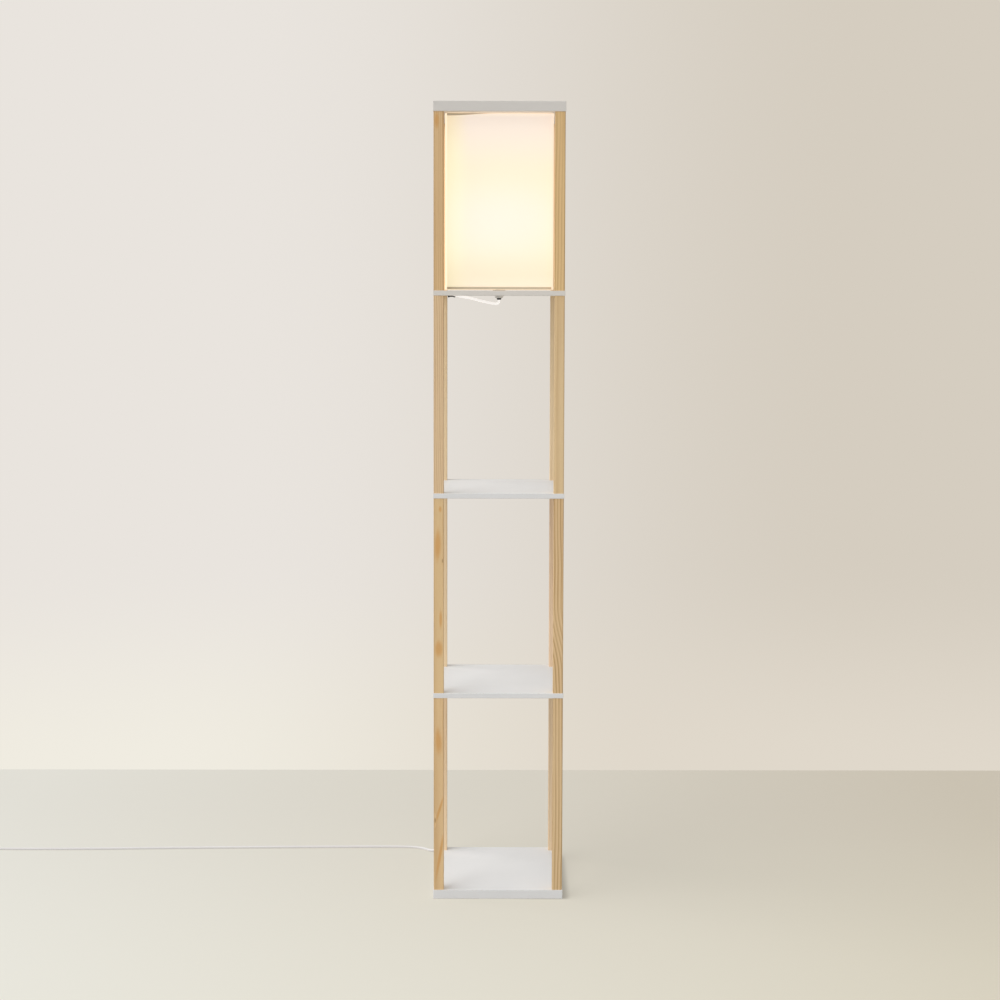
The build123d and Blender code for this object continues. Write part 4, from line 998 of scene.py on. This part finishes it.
class SHELF_LAMP_OT_shade(bpy.types.Operator):
    """The linen shade with rolled hems and a glued seam at the rear"""

    bl_idname = "shelf_lamp.shade"
    bl_label = "Shade"

    def execute(self, context):
        lamp = context.scene.shelf_lamp
        sizes = lamp.sizes
        outline = shade_outline(sizes.shade_corner, sizes.seam)
        lap_proud = 0.0004
        rings = []
        for out, level, bow in shade_profile(sizes):
            ring = []
            for x, y, out_x, out_y, loose, lap in outline:
                reach = out - sizes.shade_bow * bow * loose
                if lap and out >= 0:
                    reach += lap_proud
                reach = min(reach, sizes.hem_proud)
                ring.append((x + reach * out_x, y + reach * out_y, level))
            rings.append(ring)
        mesh = ring_mesh("shade", rings, 50, True)
        brightest = Vector((0.004, 0, (BULB_LOW.z + BULB_HIGH.z) / 2 - 0.006))
        cloth = linen("shade_linen", lamp, brightest)
        shade = add_piece("shade", mesh, "lamp", cloth)
        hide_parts("shade_fabric")
        enamel = moulded("white_enamel", lamp.colours.enamel, 0.35, 900.0, 0.00002)
        dress(enamel, "shade_top_frame", "shade_bottom_frame")
        return {"FINISHED"}


class SHELF_LAMP_OT_bulb(bpy.types.Operator):
    """The bulb: dome, housing, board and the cap with its rolled thread"""

    bl_idname = "shelf_lamp.bulb"
    bl_label = "Bulb"

    def execute(self, context):
        lamp = context.scene.shelf_lamp
        colours = lamp.colours
        metal = plated("bulb_aluminium", colours.aluminium, 0.28, 1.0, (1, 1, 6))
        thread = self.cap_mesh(lamp.sizes)
        cap = add_piece("bulb_cap_thread", thread, "bulb", metal)
        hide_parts("bulb_screw_cap")
        dress(glowing("bulb_dome", colours.dome, 2.2), "bulb_diffuser")
        dress(moulded("bulb_white", colours.white, 0.32), "bulb_housing")
        dress(moulded("board_white", colours.white, 0.5, 500.0), "bulb_light_board")
        dress(plated("contact_solder", colours.aluminium, 0.4), "bulb_contact")
        return {"FINISHED"}

    def cap_mesh(self, sizes):
        """A drawn metal cap with a rolled helical thread between a foot and a collar."""
        low, high, outer = CAP_LOW.z, CAP_HIGH.z, (CAP_HIGH.x - CAP_LOW.x) / 2
        angles = [2 * math.pi * step / 96 for step in range(96)]
        foot, collar, groove, edge, rows = 0.011, 0.0125, 0.0009, 0.0004, 78
        rings = [[(foot * math.cos(turn), foot * math.sin(turn), low) for turn in angles]]
        for row in range(rows + 1):
            level = low + edge + (high - low - 2 * edge) * row / rows
            ends = min(1, (level - low) / 0.003, max(0, (high - 0.0032 - level) / 0.002))
            ring = []
            for angle in angles:
                wave = math.cos(2 * math.pi * (level - low) / sizes.cap_pitch - angle)
                depth = groove * max(0, ends) * (0.5 - 0.5 * wave) ** 1.3
                radius = outer - 0.0002 - depth
                ring.append((radius * math.cos(angle), radius * math.sin(angle), level))
            rings.append(ring)
        rings.append([(collar * math.cos(turn), collar * math.sin(turn), high) for turn in angles])
        return ring_mesh("bulb_cap", rings, 60, False)


class SHELF_LAMP_OT_fittings(bpy.types.Operator):
    """Lampholder, stem, fasteners, clamp, clips, switch and plug"""

    bl_idname = "shelf_lamp.fittings"
    bl_label = "Fittings"

    def execute(self, context):
        colours = context.scene.shelf_lamp.colours
        holder = moulded("holder_white", colours.white, 0.3, 1200.0, 0.00001)
        dress(holder, "holder_cover", "holder_body", "shade_ring", "holder_spacer")
        steel = plated("zinc_steel", colours.zinc, 0.32, 1.0, (1, 1, 0.2))
        dress(steel, "holder_stem", "upper_washer", "base_bolts", "hanger_bolts")
        dress(steel, "clamp_screws", "clip_nails", "switch_screws")
        dress(plated("pale_nickel", colours.nickel, 0.4, 0.35), "stem_nut", "lower_washer")
        brass = plated("brass", colours.brass, 0.3, 1.0, (1, 0.2, 1))
        dress(brass, "holder_screw_shell", "holder_centre_contact", "post_inserts", "plug_blades")
        black = moulded("black_plastic", colours.black, 0.48, 1500.0, 0.00004)
        dress(black, "lead_bush", "lead_clamp", "coil_tie")
        white = moulded("fitting_white", colours.white, 0.4)
        dress(white, "lead_clips", "plug_body")
        dress(white, "switch_lower_case", "switch_upper_case", "switch_button", "switch_module")
        self.dowels(colours)
        return {"FINISHED"}

    def dowels(self, colours):
        """Close-grained beech with fine flecks."""
        finish = Finish("beech")
        place = finish.place()
        grain = finish.noise(finish.scaled(place, 1, 1, 0.1), 1600.0, 3.0)
        dark = tuple(0.8 * value for value in colours.beech)
        values = {
            "Base Color": finish.colour(grain.ease(0.4, 0.7), colours.beech, dark),
            "Roughness": 0.6 + 0.1 * grain,
            "Normal": finish.bump(grain, 0.3, 0.00006),
        }
        dress(finish.surface(values), "cap_dowels")


class SHELF_LAMP_PT_panel(bpy.types.Panel):
    """The lamp's steps, sizes and colours"""

    bl_label = "Shelf lamp"
    bl_idname = "SHELF_LAMP_PT_panel"
    bl_space_type = "VIEW_3D"
    bl_region_type = "UI"
    bl_category = "Shelf lamp"

    def draw(self, context):
        lamp = context.scene.shelf_lamp
        for step in STEPS:
            self.layout.operator(step.bl_idname)
        for group in (lamp.sizes, lamp.colours, lamp.stage):
            box = self.layout.box()
            for name in group.__annotations__:
                box.prop(group, name)
        self.layout.prop(lamp, "seed")


STEPS = (
    SHELF_LAMP_OT_stage,
    SHELF_LAMP_OT_leads,
    SHELF_LAMP_OT_boards,
    SHELF_LAMP_OT_posts,
    SHELF_LAMP_OT_shade,
    SHELF_LAMP_OT_bulb,
    SHELF_LAMP_OT_fittings,
)
CLASSES = (LampSizes, LampColours, StageSettings, LampSettings, *STEPS, SHELF_LAMP_PT_panel)


def register():
    for made in CLASSES:
        bpy.utils.register_class(made)
    bpy.types.Scene.shelf_lamp = PointerProperty(type=LampSettings)


def unregister():
    del bpy.types.Scene.shelf_lamp
    for made in reversed(CLASSES):
        bpy.utils.unregister_class(made)


def main():
    """Builds the lamp step by step."""
    register()
    bpy.ops.shelf_lamp.stage()
    bpy.ops.shelf_lamp.leads()
    bpy.ops.shelf_lamp.boards()
    bpy.ops.shelf_lamp.posts()
    bpy.ops.shelf_lamp.shade()
    bpy.ops.shelf_lamp.bulb()
    bpy.ops.shelf_lamp.fittings()


if __name__ == "__main__":
    main()
